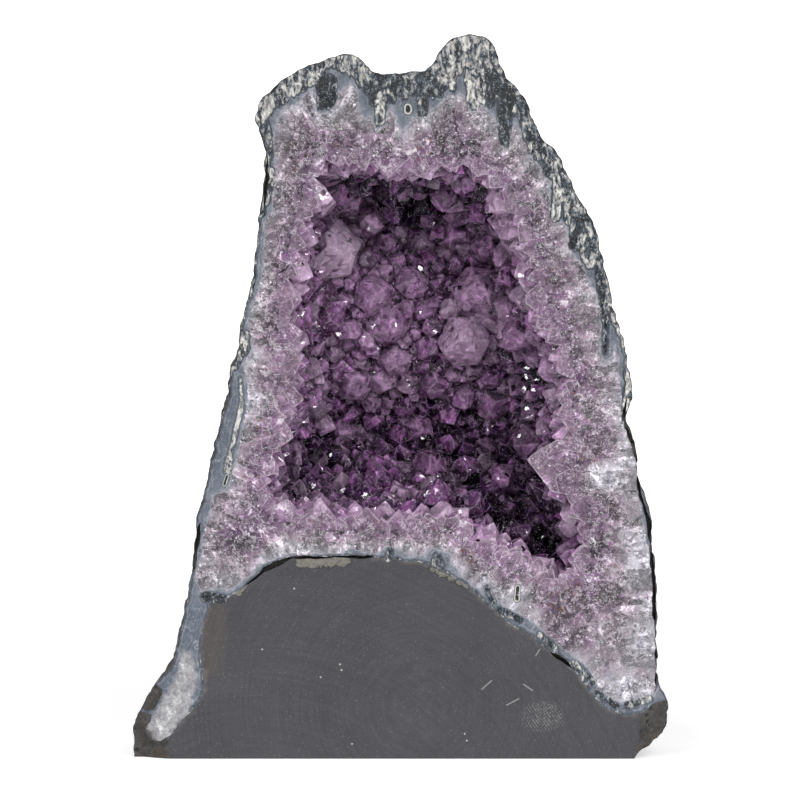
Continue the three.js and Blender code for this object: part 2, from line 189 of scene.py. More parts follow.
def inside(points, loop):
    """Which points lie inside the loop, by the even-odd rule."""
    x, z = points[:, 0], points[:, 1]
    found = np.zeros(len(points), bool)
    for (ax, az), (bx, bz) in zip(loop, np.roll(loop, -1, 0)):
        if az != bz:
            found ^= ((az > z) != (bz > z)) & (x < (bx - ax) * (z - az) / (bz - az) + ax)
    return found


def nearest(points, loop):
    """For each point, the distance to the loop and how far along the loop its nearest point lies."""
    step = np.hypot(*(np.roll(loop, -1, 0) - loop).T).mean()
    distance, along = np.empty(len(points)), np.empty(len(points))
    for start in range(0, len(points), 2000):
        some = points[start : start + 2000]
        away = np.hypot(some[:, None, 0] - loop[None, :, 0], some[:, None, 1] - loop[None, :, 1])
        at = away.argmin(1)
        distance[start : start + 2000] = away.min(1)
        along[start : start + 2000] = at * step
    return distance, along


# --- Meshes -------------------------------------------------------------------------------------------------


def mesh_object(name, vertices, faces):
    mesh = bpy.data.meshes.new(name)
    mesh.from_pydata((np.asarray(vertices) * MM).tolist(), [], [list(map(int, f)) for f in faces])
    mesh.validate()
    piece = bpy.data.objects.new(name, mesh)
    bpy.context.scene.collection.objects.link(piece)
    return piece


def corners_of(piece):
    """A piece's vertices in millimetres."""
    co = np.empty(len(piece.data.vertices) * 3)
    piece.data.vertices.foreach_get("co", co)
    return co.reshape(-1, 3) / MM


def set_corners(piece, corners):
    piece.data.vertices.foreach_set("co", (corners * MM).ravel())
    piece.data.update()


def set_attribute(piece, name, values, domain="POINT"):
    attribute = piece.data.attributes.get(name) or piece.data.attributes.new(name, "FLOAT", domain)
    attribute.data.foreach_set("value", np.asarray(values, np.float32))


def boolean(piece, other, operation):
    """Joins or cuts a piece by another, which is used up."""
    cut = piece.modifiers.new("cut", "BOOLEAN")
    cut.operation, cut.solver, cut.object = operation, "MANIFOLD", other
    graph = bpy.context.evaluated_depsgraph_get()
    mesh = bpy.data.meshes.new_from_object(piece.evaluated_get(graph))
    piece.modifiers.clear()
    piece.data = mesh
    bpy.data.objects.remove(other)
    return piece


def cap(outline, holes, spacing, lowest=-1e9):
    """Triangles over the region in an outline and outside its holes, about as fine as the spacing."""
    low, high = outline.min(0), outline.max(0)
    xs = np.arange(low[0], high[0], spacing)
    zs = np.arange(max(low[1], lowest), high[1], spacing * 0.87)
    grid = np.array([(x + spacing / 2 * (k % 2), z) for k, z in enumerate(zs) for x in xs])
    grid += rng.uniform(-0.22, 0.22, grid.shape) * spacing
    keep = inside(grid, outline) & (nearest(grid, outline)[0] > spacing * 0.6)
    for hole in holes:
        keep &= ~inside(grid, hole) & (nearest(grid, hole)[0] > spacing * 0.6)
    points, edges = [], []
    for loop in [outline, *holes]:
        start = len(points)
        points += loop.tolist()
        edges += [(start + i, start + (i + 1) % len(loop)) for i in range(len(loop))]
    points += grid[keep].tolist()
    points, _, faces, *_ = delaunay_2d_cdt([Vector(p) for p in points], edges, [], 1, 1e-6)
    points = np.array([tuple(p) for p in points])
    faces = np.array(faces)
    middle = points[faces].mean(1)
    for hole in holes:
        open_face = inside(middle, hole)
        faces, middle = faces[~open_face], middle[~open_face]
    return points, faces


def bowl_rows(rim, pole, depth, squareness, steps, soft=None, soft_from=0.45):
    """Rings from a rim in the sawn face back to near a bowl's deepest point."""
    rows = []
    for along in steps:
        loop = rim if soft is None else rim + (soft - rim) * min(1, along / soft_from)
        flat = pole + (loop - pole) * math.cos(along * QUARTER_TURN) ** squareness
        y = FRONT + depth * math.sin(along * QUARTER_TURN)
        rows.append(np.column_stack([flat[:, 0], np.full(len(rim), y), flat[:, 1]]))
    return np.array(rows)


def ring_faces(first, count, rows):
    """Quads between rings of count vertices each, the first of which starts at vertex first."""
    i = np.arange(count)
    following = (i + 1) % count
    base = first + count * np.arange(rows - 1)[:, None]
    return np.stack([base + i, base + following, base + count + following, base + count + i], -1).reshape(-1, 4)


def bowl_solid(name, rim, pole, depth, squareness, rows, first=None):
    """A closed bowl with a plain front: in front of the sawn face, or the first step of the way back."""
    rings = bowl_rows(rim, pole, depth, squareness, np.linspace(first or 0, 1, rows, endpoint=False))
    if first is None:
        front = rings[0] - [0, BEYOND, 0]
        rings = np.array([front, *rings])
    vertices = np.vstack([*rings, [[pole[0], FRONT + depth, pole[1]]]])
    count = len(rim)
    last = count * (len(rings) - 1)
    faces = [tuple(range(count))] + ring_faces(0, count, len(rings)).tolist()
    faces += [(last + (i + 1) % count, last + i, len(vertices) - 1) for i in range(count)]
    piece = mesh_object(name, vertices, faces)
    outward_faces(piece)
    return piece


def outward_faces(piece):
    net = bmesh.new()
    net.from_mesh(piece.data)
    bmesh.ops.recalc_face_normals(net, faces=net.faces)
    net.to_mesh(piece.data)
    net.free()


def prism_solid(name, outline, front, back, spacing=None):
    """A closed plate between two depths, with a finely divided front if a spacing is given."""
    if spacing:
        points, faces = cap(outline, [], spacing)
        vertices = np.vstack([np.insert(points, 1, front, 1), np.insert(outline, 1, back, 1)])
        start = len(points)
        count = len(outline)
        sides = [(i, (i + 1) % count, start + (i + 1) % count, start + i) for i in range(count)]
        piece = mesh_object(name, vertices, [*faces.tolist(), *sides, tuple(range(start, start + count))])
    else:
        count = len(outline)
        vertices = np.vstack([np.insert(outline, 1, front, 1), np.insert(outline, 1, back, 1)])
        sides = [(i, (i + 1) % count, count + (i + 1) % count, count + i) for i in range(count)]
        piece = mesh_object(name, vertices, [tuple(range(count)), *sides, tuple(range(count, 2 * count))])
    outward_faces(piece)
    return piece


# --- The rock -----------------------------------------------------------------------------------------------

# Broad lumps on the rock's back: share, waves a metre right, back and up, phase in turns.
LUMP_WAVES = [
    [0.23, 8.4, 0, -5.9, 0.14], [0.23, 8.4, 0, 5.9, 0.77], [0.31, 0, 10.6, 7.6, 0.75],
    [0.23, 14.5, 0, -12.2, 0],
]
LUMP, LUMP_FADE = 3, 62
# Fine roughness of the natural rock: height, width, seed.
ROCK_GRAIN = [(1.3, 13, 3.1), (0.8, 5.5, 8.7), (0.45, 2.6, 5.3)]
# Corners of the sawn face that broke away: x, z, reach, depth.
BROKEN_CORNERS = [(-113, 4, 13, 7), (-104, 26, 5, 2.5), (112, 12, 10, 6), (108, 2, 8, 4)]


def stone_outline():
    """The stone's outline in the sawn face, closed below the base."""
    loop = clockwise(front_loops("basalt_matrix")[0])
    above = loop[:, 1] > 0.5
    first = next(i for i in range(len(loop)) if above[i] and not above[i - 1])
    loop = np.roll(loop, -first, 0)
    sides = loop[: int(np.argmin(loop[:, 1] > 0.5))] if not (loop[:, 1] > 0.5).all() else loop
    rim = smooth_loop(np.vstack([sides, STONE_BELOW_BASE]), 1.5)
    return ragged(rim, (1.4, 14, 1.5), (0.9, 4.2, 4.5), (0.5, 1.9, 9.5))


def rock_lumps(points):
    x, y, z = points[:, 0], points[:, 1] - FRONT, points[:, 2]
    swell = sum(s * np.cos(2 * math.pi * ((r * x + b * y + u * z) / 1000 + p)) for s, r, b, u, p in LUMP_WAVES)
    away = np.column_stack([x, y, (z - STONE_POLE[1]) / 2])
    away /= np.linalg.norm(away, axis=1)[:, None] + 1e-9
    return points + away * (LUMP * (1 + swell) * np.clip(y / LUMP_FADE, 0, 1))[:, None]


def rough(points, normals, grain, fade):
    """Points moved along their normals by fractal noise."""
    rise = np.zeros(len(points))
    for height, width, seed in grain:
        rise += [height * noise.noise(Vector(p) / width + Vector((seed, 0, 0))) for p in points]
    return points + normals * (rise * fade)[:, None]


def normals_of(piece):
    normals = np.empty(len(piece.data.vertices) * 3)
    piece.data.vertices.foreach_get("normal", normals)
    return normals.reshape(-1, 3)


def cut_base(piece):
    """Saws the piece off at its base and closes the cut."""
    net = bmesh.new()
    net.from_mesh(piece.data)
    geometry = net.verts[:] + net.edges[:] + net.faces[:]
    cut = bmesh.ops.bisect_plane(net, geom=geometry, dist=1e-7, plane_co=(0, 0, 0), plane_no=(0, 0, -1), clear_outer=True)
    edges = [e for e in cut["geom_cut"] if isinstance(e, bmesh.types.BMEdge)]
    bmesh.ops.triangle_fill(net, use_beauty=True, edges=edges)
    bmesh.ops.recalc_face_normals(net, faces=net.faces)
    net.to_mesh(piece.data)
    net.free()


def break_corners(piece):
    """Sets the sawn face back where the stone's corners broke away."""
    corners = corners_of(piece)
    depth = corners[:, 1] - FRONT
    jag = np.array([1 + 0.5 * noise.noise(Vector((p[0], 0, p[2])) / 5) for p in corners])
    for x, z, reach, fall in BROKEN_CORNERS:
        near = np.exp(-(((corners[:, 0] - x) ** 2 + (corners[:, 2] - z) ** 2) / reach**2) ** 2)
        corners[:, 1] += np.where(depth < fall * 2, near * fall * jag, 0)
    set_corners(piece, corners)


def stone_solid(rim):
    rows = 84
    soft = softened(rim)
    steps = np.arange(rows) / rows
    points, faces = cap(rim, [], 1.25, lowest=-2)
    rings = bowl_rows(rim, STONE_POLE, STONE_DEPTH, STONE_SQUARENESS, steps, soft)[1:]
    pole = [[STONE_POLE[0], FRONT + STONE_DEPTH, STONE_POLE[1]]]
    front = np.insert(points, 1, FRONT, 1)
    sides = np.vstack([*rings, pole])
    count, start = len(rim), len(points)
    quads = ring_faces(start, count, rows - 1).tolist()
    i = np.arange(count)
    joint = np.column_stack([i, (i + 1) % count, start + (i + 1) % count, start + i]).tolist()
    last = start + count * (rows - 2)
    tip = [(last + k, last + (k + 1) % count, start + len(sides) - 1) for k in range(count)]
    piece = mesh_object("basalt_rock", np.vstack([front, rock_lumps(sides)]), faces.tolist() + joint + quads + tip)
    outward_faces(piece)
    corners = corners_of(piece)
    depth = corners[:, 1] - FRONT
    # The rock is thin behind the sawn edge, and smoother there.
    corners = rough(corners, normals_of(piece), ROCK_GRAIN, np.clip(depth / 4, 0, 1) * np.clip(0.25 + depth / 45, 0, 1))
    set_corners(piece, corners)
    break_corners(piece)
    cut_base(piece)
    return piece


# --- The layers' outlines -----------------------------------------------------------------------------------

STONE_RIM = stone_outline()
AGATE_RIM = ragged(smooth_loop(clockwise(front_loops("agate_layer")[0]), 1.2), (0.8, 8, 2.5), (0.7, 3, 6.5))
QUARTZ_RIM = ragged(smooth_loop(clockwise(front_loops("amethyst_crystals")[0]), 1.2), (1.0, 9, 3.5), (0.6, 3, 7.5))
CAVITY_RIM = ragged(offset_loop(smooth_loop(CAVITY_TIPS, 1.2), CRYSTAL_COVER), (1.5, 8, 5.5))


def basalt_rock():
    hollow = prism_solid("hollow", AGATE_RIM, FRONT - BEYOND, FRONT + AGATE_LIP)
    shell = bowl_solid("shell", offset_loop(QUARTZ_RIM, AGATE_SHELL), QUARTZ_POLE, QUARTZ_DEPTH + AGATE_SHELL,
                       QUARTZ_SQUARENESS, 14)
    boolean(hollow, shell, "UNION")
    return boolean(stone_solid(STONE_RIM), hollow, "DIFFERENCE")


def agate_band():
    lip = prism_solid("agate_band", AGATE_RIM, FRONT, FRONT + AGATE_LIP, spacing=0.8)
    shell = bowl_solid("shell", offset_loop(QUARTZ_RIM, AGATE_SHELL), QUARTZ_POLE, QUARTZ_DEPTH + AGATE_SHELL,
                       QUARTZ_SQUARENESS, 14, first=0.04)
    quartz = bowl_solid("quartz", QUARTZ_RIM, QUARTZ_POLE, QUARTZ_DEPTH, QUARTZ_SQUARENESS, 14)
    boolean(lip, shell, "UNION")
    boolean(lip, quartz, "DIFFERENCE")
    break_corners(lip)
    return lip


# --- The quartz crust ---------------------------------------------------------------------------------------


def wall_points(around, along):
    """Points of the cavity wall: around counts turns of its rim, along runs from the rim (0) to the back (1)."""
    at = np.mod(around, 1) * len(CAVITY_RIM)
    i = np.floor(at).astype(int) % len(CAVITY_RIM)
    part = (at - np.floor(at))[:, None]
    rim = CAVITY_RIM[i] * (1 - part) + CAVITY_RIM[(i + 1) % len(CAVITY_RIM)] * part
    flat = CAVITY_POLE + (rim - CAVITY_POLE) * (np.cos(along * QUARTER_TURN) ** CAVITY_SQUARENESS)[:, None]
    rise = sum(a * np.exp(-((flat[:, 0] - x) ** 2 + (flat[:, 1] - z) ** 2) / (2 * r * r)) for x, z, r, a in SWELLS)
    y = FRONT + CAVITY_DEPTH * np.sin(along * QUARTER_TURN) * (1 - rise)
    return np.column_stack([flat[:, 0], y, flat[:, 1]])


def wall_normals(around, along):
    """The cavity wall's normals, into the cavity, and its area for each unit of around and along."""
    step = 0.004
    across = wall_points(around + step, along) - wall_points(around - step, along)
    inner, outer = np.minimum(along + step, 0.999), np.maximum(along - step, 0)
    back = wall_points(around, inner) - wall_points(around, outer)
    normal = np.cross(back, across) / (2 * step * (inner - outer))[:, None]
    area = np.linalg.norm(normal, axis=1)
    normal /= area[:, None] + 1e-9
    return normal, area


def quartz_crust():
    points, faces = cap(QUARTZ_RIM, [CAVITY_RIM], 1.05)
    distance, _ = nearest(points, QUARTZ_RIM)
    depth, _ = nearest(points, CAVITY_RIM)
    # The saw leaves shallow pits, more of them towards the cavity.
    relief = np.array([max(0, noise.noise((x / 2.6, 1.7, z / 2.6)) + 0.6 * noise.noise((x / 1.3, 7.1, z / 1.3))) for x, z in points])
    relief *= 1.1 * np.clip(distance / 6, 0, 1) * np.clip(1.3 - depth / 28, 0.35, 1)
    front = np.column_stack([points[:, 0], FRONT + relief, points[:, 1]])
    vertices, all_faces = [front], faces.tolist()
    outer = np.arange(len(QUARTZ_RIM))
    inner = len(QUARTZ_RIM) + np.arange(len(CAVITY_RIM))
    start = len(front)
    rows = 14
    rings = bowl_rows(QUARTZ_RIM, QUARTZ_POLE, QUARTZ_DEPTH, QUARTZ_SQUARENESS, np.arange(1, rows) / rows)
    start = add_bowl(vertices, all_faces, outer, rings, [QUARTZ_POLE[0], FRONT + QUARTZ_DEPTH, QUARTZ_POLE[1]], start)
    rows = 56
    turns = np.arange(len(CAVITY_RIM)) / len(CAVITY_RIM)
    rings = [wall_points(turns, np.full(len(turns), k / rows)) for k in range(1, rows)]
    back = wall_points(np.array([0.0]), np.array([0.9999]))[0]
    add_bowl(vertices, all_faces, inner, rings, back, start)
    piece = mesh_object("quartz_crust", np.vstack(vertices), all_faces)
    outward_faces(piece)
    return piece


def add_bowl(vertices, faces, rim, rings, pole, start):
    """Adds rings behind a rim of existing vertices, closed at a pole. Returns the next free vertex number."""
    count = len(rim)
    vertices += [*rings, [pole]]
    i = np.arange(count)
    following = (i + 1) % count
    faces += np.column_stack([rim, rim[following], start + following, start + i]).tolist()
    faces += ring_faces(start, count, len(rings)).tolist()
    last = start + count * (len(rings) - 1)
    end = start + count * len(rings)
    faces += [(last + k, last + (k + 1) % count, end) for k in range(count)]
    return end + 1



# --- Crystals -----------------------------------------------------------------------------------------------

TIP_SLOPE = math.radians(51.8)  # between a tip face's normal and the crystal's axis
ROOT = 4  # how deep a crystal stands in the wall
# The clear crystals between the great ones, from large to small: radius, how many at most, spacing.
SIZES = [(6.4, 26, 0.92), (5.1, 110, 0.84), (4.0, 300, 0.78), (3.0, 600, 0.74)]
DRUSE = [(2.2, 600, 0.62), (1.5, 1100, 0.6)]
EDGE_CUT = 0.045  # width of the bevel on a crystal's edges, in radii
# Crystals at the rim: x, z of the tip, direction in degrees from the right, radius, how far behind the cut, paleness.
TEETH = [
    (-34, 242, -60, 6, 0.5, 0.5), (-40.2, 230, -20, 5, 1, 0.4), (-37.7, 221.3, 10, 6, 4, 0.6),
    (-41.4, 190.6, 0, 5, 2, 0.5), (-40.2, 178.2, 10, 5, 1, 0.5), (-43.9, 165.8, -5, 6, 1, 0.5),
    (-41, 149.6, -5, 8.5, 1, 0.7), (-44.8, 134.3, -12, 9.5, 1.5, 0.75), (-53, 121.8, -50, 5, 0.5, 0.6),
    (-51, 106.5, -15, 9, 1, 0.7), (-46, 105.3, 80, 8, 4, 0.7), (-33.6, 106.5, 88, 8.5, 4.5, 0.95),
    (-24.4, 102.8, 95, 5, 5, 0.4), (-18.2, 104.8, 90, 7, 4, 0.55), (-10.8, 102.8, 75, 5.5, 6, 0.6),
    (-0.8, 101.5, 95, 6, 5, 0.5), (9.1, 101.9, 85, 6, 4, 0.5), (19.5, 104.4, 75, 7, 3, 0.85),
    (25.7, 100.7, 60, 6, 2, 0.7), (34, 95.7, 80, 7.5, 3, 0.5), (41.4, 89.1, 85, 7, 1.5, 0.8),
    (49.7, 87, 75, 7, 1, 0.8), (58.4, 83.7, 75, 7, 2, 0.7), (63.4, 78.7, 60, 5, 1, 0.6),
    (67.1, 77.9, 120, 5, 1, 0.5), (71.7, 84.5, 170, 5.5, 1, 0.5), (73.3, 95.3, 180, 5, 1, 0.5),
    (71.3, 105.7, 175, 6, 1, 0.6), (67.1, 114, 160, 6, 1, 0.6), (54.3, 123.5, 172, 9.5, 1.5, 0.8),
    (64.6, 133.9, 185, 6, 3, 0.6), (67.1, 140.9, 170, 7.5, 1, 0.6), (64.6, 151.3, 178, 8, 2, 0.6),
    (68.8, 164.9, 185, 6, 1, 0.5), (64.6, 176.1, 175, 6, 1, 0.6), (61.3, 188.6, 190, 7, 1, 0.6),
    (58.4, 201, 180, 6, 1, 0.5), (51.4, 210.5, 185, 8, 3, 0.6), (53, 222.9, 190, 7, 2, 0.8),
    (45.6, 233.7, 205, 6, 2, 0.4), (39.4, 239.5, 225, 6, 1, 0.4), (32.3, 242, 260, 5, 1, 0.4),
    (22.8, 243.7, 270, 6, 2, 0.5), (13.3, 243.3, 265, 7, 1.5, 0.6), (4.6, 242.4, 265, 6.5, 2, 0.6),
    (-3.7, 241.2, 270, 9, 2, 0.85), (-14.5, 244.5, 285, 7, 2, 0.5), (-23.6, 246.2, 275, 6, 1, 0.4),
]
# Painted light and shade on the clear crystals, paler where light falls and darker in the shaded recesses: x, z, reach,
# by how much.
PAINTED_LIGHT_AND_SHADE = [
    (-30.3, 211.3, 10.8, 0.6), (-11.6, 190.6, 18.6, 0.5), (-22.8, 157.5, 16.6, 0.2), (34.8, 184.4, 14.1, 0.55),
    (-2.1, 164.9, 8.3, 0.4), (22.8, 217.6, 12.4, 0.15), (53.9, 217.6, 12.4, 0.25), (4.1, 234.1, 14.1, -0.7),
    (-20.7, 240.4, 10.4, -0.3), (49.7, 93.2, 21.5, -0.75), (16.6, 120.2, 18.6, -0.35), (-44.8, 116, 12.4, -0.5),
    (33.2, 232.1, 10.4, -0.4), (58, 149.2, 12.4, -0.1), (-29, 136.8, 14.5, -0.2), (16.6, 153.3, 16.6, -0.1),
]


def triples(count):
    return np.array([(a, b, c) for a in range(count) for b in range(a + 1, count) for c in range(b + 1, count)])


TRIPLES = {count: triples(count) for count in (13, 14)}


def polyhedron(normals, offsets, merge):
    """The corners and faces of the solid behind a set of planes. A face keeps its plane's number."""
    trio = TRIPLES[len(normals)]
    a, b, c = (normals[trio[:, k]] for k in range(3))
    bc, ca, ab = np.cross(b, c), np.cross(c, a), np.cross(a, b)
    volume = (a * bc).sum(1)
    trio, volume = trio[abs(volume) > 1e-6], volume[abs(volume) > 1e-6, None]
    a, b, c = (normals[trio[:, k]] for k in range(3))
    bc, ca, ab = np.cross(b, c), np.cross(c, a), np.cross(a, b)
    d = offsets[trio]
    corners = (d[:, :1] * bc + d[:, 1:2] * ca + d[:, 2:] * ab) / volume
    corners = corners[(corners @ normals.T <= offsets + 1e-5).all(1)]
    corners = np.unique(corners.round(4), axis=0)
    # Corners closer than a small merge distance become one.
    owner = np.full(len(corners), -1)
    for i in range(len(corners)):
        if owner[i] < 0:
            near = np.linalg.norm(corners - corners[i], axis=1) < merge
            owner[near & (owner < 0)] = i
    faces = []
    for k, normal in enumerate(normals):
        on = np.unique(owner[abs(corners @ normal - offsets[k]) < 2e-3])
        if len(on) < 3:
            continue
        middle = corners[on].mean(0)
        right = np.cross(normal, [0.31, 0.52, 0.8])
        right /= np.linalg.norm(right)
        turn = np.arctan2((corners[on] - middle) @ np.cross(normal, right), (corners[on] - middle) @ right)
        faces.append((k, on[np.argsort(turn)].tolist()))
    return corners, faces


def crystal(foot, direction, radius, height, spin, uneven, recess=None):
    """A six-sided quartz point as planes: six sides, six tip faces of uneven size, a root and perhaps the saw cut."""
    turn = spin + np.arange(6) * math.pi / 3
    side = np.hypot(*direction[:2]) < 0.99
    across = np.cross(direction, [0, 0, 1] if side else [1, 0, 0])
    across /= np.linalg.norm(across)
    upright = np.cross(across, direction)
    around = np.cos(turn)[:, None] * across + np.sin(turn)[:, None] * upright
    tips = around * math.sin(TIP_SLOPE) + direction * math.cos(TIP_SLOPE)
    normals = [*around, *tips, -direction]
    girth = radius * (1 + 0.12 * (uneven[:6] - 0.5))
    minor = 0.03 + 0.26 * uneven[0]
    reach = height * math.cos(TIP_SLOPE) + radius * (0.14 * uneven[6:12] + np.array([0, minor] * 3))
    offsets = [*(around @ foot + girth), *(tips @ foot + reach), -direction @ foot + ROOT]
    if recess is not None:
        normals.append(np.array([0, -1, 0]))
        offsets.append(-(FRONT + recess))
    return polyhedron(np.array(normals), np.array(offsets), 0.08 * radius)


class Crystals:
    """A growing list of crystals, each clear of the others by its own spacing."""

    def __init__(self):
        self.feet, self.radii, self.rows = [], [], []

    def free(self, foot, radius, spacing):
        if not self.feet:
            return True
        away = np.linalg.norm(np.array(self.feet) - foot, axis=1)
        return bool((away > spacing * (np.array(self.radii) + radius)).all())

    def add(self, foot, direction, radius, height, pale, tone):
        self.feet.append(foot)
        self.radii.append(radius)
        self.rows.append((foot, direction / np.linalg.norm(direction), radius, height, pale, tone))


def great_crystals(grown):
    for (x, z, radius, height, right, up, pale) in GREAT_CRYSTALS:
        around, along = wall_place(x, z)
        foot = wall_points(np.array([around]), np.array([along]))[0]
        grown.add(foot, np.array([right, -1, up]), radius, height, pale, rng.uniform(0.6, 1.0))


def wall_place(x, z):
    """The place on the cavity wall that shows at x, z from the front."""
    toward = math.atan2(z - CAVITY_POLE[1], x - CAVITY_POLE[0])
    rim = CAVITY_RIM - CAVITY_POLE
    turn = np.arctan2(rim[:, 1], rim[:, 0])
    at = np.abs(np.angle(np.exp(1j * (turn - toward)))).argmin()
    share = min(1, math.hypot(x - CAVITY_POLE[0], z - CAVITY_POLE[1]) / np.hypot(*rim[at]))
    return at / len(rim), math.acos(share ** (1 / CAVITY_SQUARENESS)) / QUARTER_TURN


def scattered(count, least=0.0):
    """Random places on the cavity wall, evenly spread over its area."""
    around, along = rng.random(count * 3), least + (1 - least) * rng.random(count * 3)
    along = np.minimum(along, 0.995)
    _, area = wall_normals(around, along)
    kept = rng.random(count * 3) < area / area.max()
    return around[kept][:count], along[kept][:count]


def fill_wall(grown, sizes, least):
    for radius, most, spacing in sizes:
        around, along = scattered(9000, least)
        feet = wall_points(around, along)
        normals, _ = wall_normals(around, along)
        added = 0
        for foot, normal in zip(feet, normals):
            size = radius * rng.uniform(0.85, 1.15)
            if not grown.free(foot, size, spacing):
                continue
            lean = rng.normal(0, 0.38, 3) + np.array([0, -0.15, 0.15])
            height = size * rng.uniform(1.3, 2.5)
            # Painted light and shade from the listed spots: paler crystals where light falls, a darker tone in the
            # shaded recesses.
            lit = sum(a * math.exp(-((foot[0] - x) ** 2 + (foot[2] - z) ** 2) / (r * r)) for x, z, r, a in PAINTED_LIGHT_AND_SHADE)
            pale = min(1, max(0, rng.random() ** 2 * 0.7 + lit * 0.7))
            grown.add(foot, normal + lean, size, height, pale, rng.uniform(0.1, 0.9) + lit)
            added += 1
            if added == most:
                break


def rim_crystals(grown, standing):
    """The crystals along the cavity's rim: those the saw cut through and those standing behind the cut."""
    for x, z, turn, radius, back, pale in TEETH:
        way = np.array([math.cos(math.radians(turn)), 0, math.sin(math.radians(turn))])
        height = radius * 1.9
        foot = np.array([x, FRONT + back, z]) - way * height
        if back < 2.5:
            grown.add(foot, way + rng.normal(0, 0.05, 3), radius, height, pale, rng.random())
        else:
            foot[1] += radius * 0.6
            standing.add(foot, way + np.array([0, -0.25, 0]), radius * 1.2, height * 1.1, pale, rng.uniform(0.5, 1))
    length = np.hypot(*(np.roll(CAVITY_RIM, -1, 0) - CAVITY_RIM).T).sum()
    for kind, low, high, step in ((grown, 3.2, 5.2, 1.5), (standing, 3.4, 6.0, 1.1)):
        around = 0.0
        while around < 1:
            radius = rng.uniform(low, high)
            along = rng.uniform(0.0, 0.02) if kind is grown else rng.uniform(0.05, 0.16)
            place = np.array([around]), np.array([along])
            foot = wall_points(*place)[0]
            around += radius * step * rng.uniform(0.85, 1.2) / length
            if kind is grown:
                normal = wall_normals(*place)[0][0] * [1, 0, 1] + rng.normal(0, 0.12, 3)
                height = radius * rng.uniform(1.3, 1.9)
            elif kind.free(foot, radius, 0.6):
                normal = wall_normals(*place)[0][0] + rng.normal(0, 0.15, 3) + [0, -0.35, 0.1]
                height = radius * rng.uniform(1.7, 2.4)
            else:
                continue
            kind.add(foot, normal, radius, height, rng.uniform(0.45, 1.0), rng.uniform(0.3, 1.0))


def crystal_mesh(name, rows, bevel, rim=False):
    """One closed mesh of the crystals, joined where they overlap."""
    groups = []
    for row in rows:
        foot, direction, radius, height = row[:4]
        centre, reach = foot + direction * (height - ROOT) / 2, (height + ROOT) / 2 + radius * 0.6
        for group in groups:
            if (np.linalg.norm(np.array([c for c, _ in group["balls"]]) - centre, axis=1)
                    > np.array([r for _, r in group["balls"]]) + reach).all():
                break
        else:
            group = {"balls": [], "rows": []}
            groups.append(group)
        group["balls"].append((centre, reach))
        group["rows"].append(row)
    pieces = [crystal_set(name, group["rows"], bevel, rim) for group in groups]
    while len(pieces) > 1:
        pieces = [boolean(a, b, "UNION") for a, b in zip(pieces[::2], pieces[1::2])] + (
            pieces[-1:] if len(pieces) % 2 else [])
    pieces[0].name = name
    return pieces[0]


def crystal_set(name, rows, bevel, rim):
    """Crystals that don't touch, as one mesh."""
    net = bmesh.new()
    layer = {key: net.faces.layers.float.new(key) for key in ("tone", "pale", "edge", "cut")}
    grown = net.verts.layers.float.new("growth")
    for foot, direction, radius, height, pale, tone in rows:
        recess = rng.uniform(0.02, 0.35) if rim else 0.6
        cuts = rim or foot[1] - radius - height < FRONT + 1
        corners, faces = crystal(foot, direction, radius, height, rng.uniform(0, 1), rng.random(12),
                                 recess if cuts else None)
        if len(faces) < 5:
            continue
        verts = {i: net.verts.new(corners[i]) for i in sorted({i for _, ring in faces for i in ring})}
        made = []
        for plane, ring in faces:
            face = net.faces.new([verts[i] for i in ring])
            face[layer["cut"]] = float(plane == 13)
            made.append(face)
        if not all(e.is_manifold for f in made for e in f.edges):
            bmesh.ops.delete(net, geom=list(verts.values()), context="VERTS")
            continue
        if bevel:
            edges = {e for f in made for e in f.edges if all(g[layer["cut"]] == 0 for g in e.link_faces)}
            bevelled = bmesh.ops.bevel(net, geom=list(edges), offset=bevel * radius, segments=1, affect="EDGES",
                                       clamp_overlap=True)
            for face in bevelled["faces"]:
                face[layer["edge"]] = 1.0
            made = list({f for v in bevelled["verts"] for f in v.link_faces} | {f for f in made if f.is_valid})
            sawn = [f for f in made if f[layer["cut"]] == 1]
            border = bmesh.ops.inset_individual(net, faces=sawn, thickness=min(0.3, 0.07 * radius), use_even_offset=True)
            for face in border["faces"]:
                face[layer["edge"]] = face[layer["cut"]] = 1.0
            made += border["faces"]
        low, high = corners.min(0), corners.max(0)
        for face in made:
            face[layer["tone"]], face[layer["pale"]] = max(-1, min(1, tone + rng.normal(0, 0.30))), pale
            for vert in face.verts:
                # A bevel only takes material away, so no corner leaves the crystal's own box.
                vert.co = np.clip(np.array(vert.co), low, high)
                vert[grown] = (np.array(vert.co) - foot) @ direction / height
    for vert in net.verts:
        vert.co *= MM
    bmesh.ops.recalc_face_normals(net, faces=net.faces)
    mesh = bpy.data.meshes.new(name)
    net.to_mesh(mesh)
    net.free()
    piece = bpy.data.objects.new(name, mesh)
    bpy.context.scene.collection.objects.link(piece)
    return piece


# --- Layers in the sawn face --------------------------------------------------------------------------------

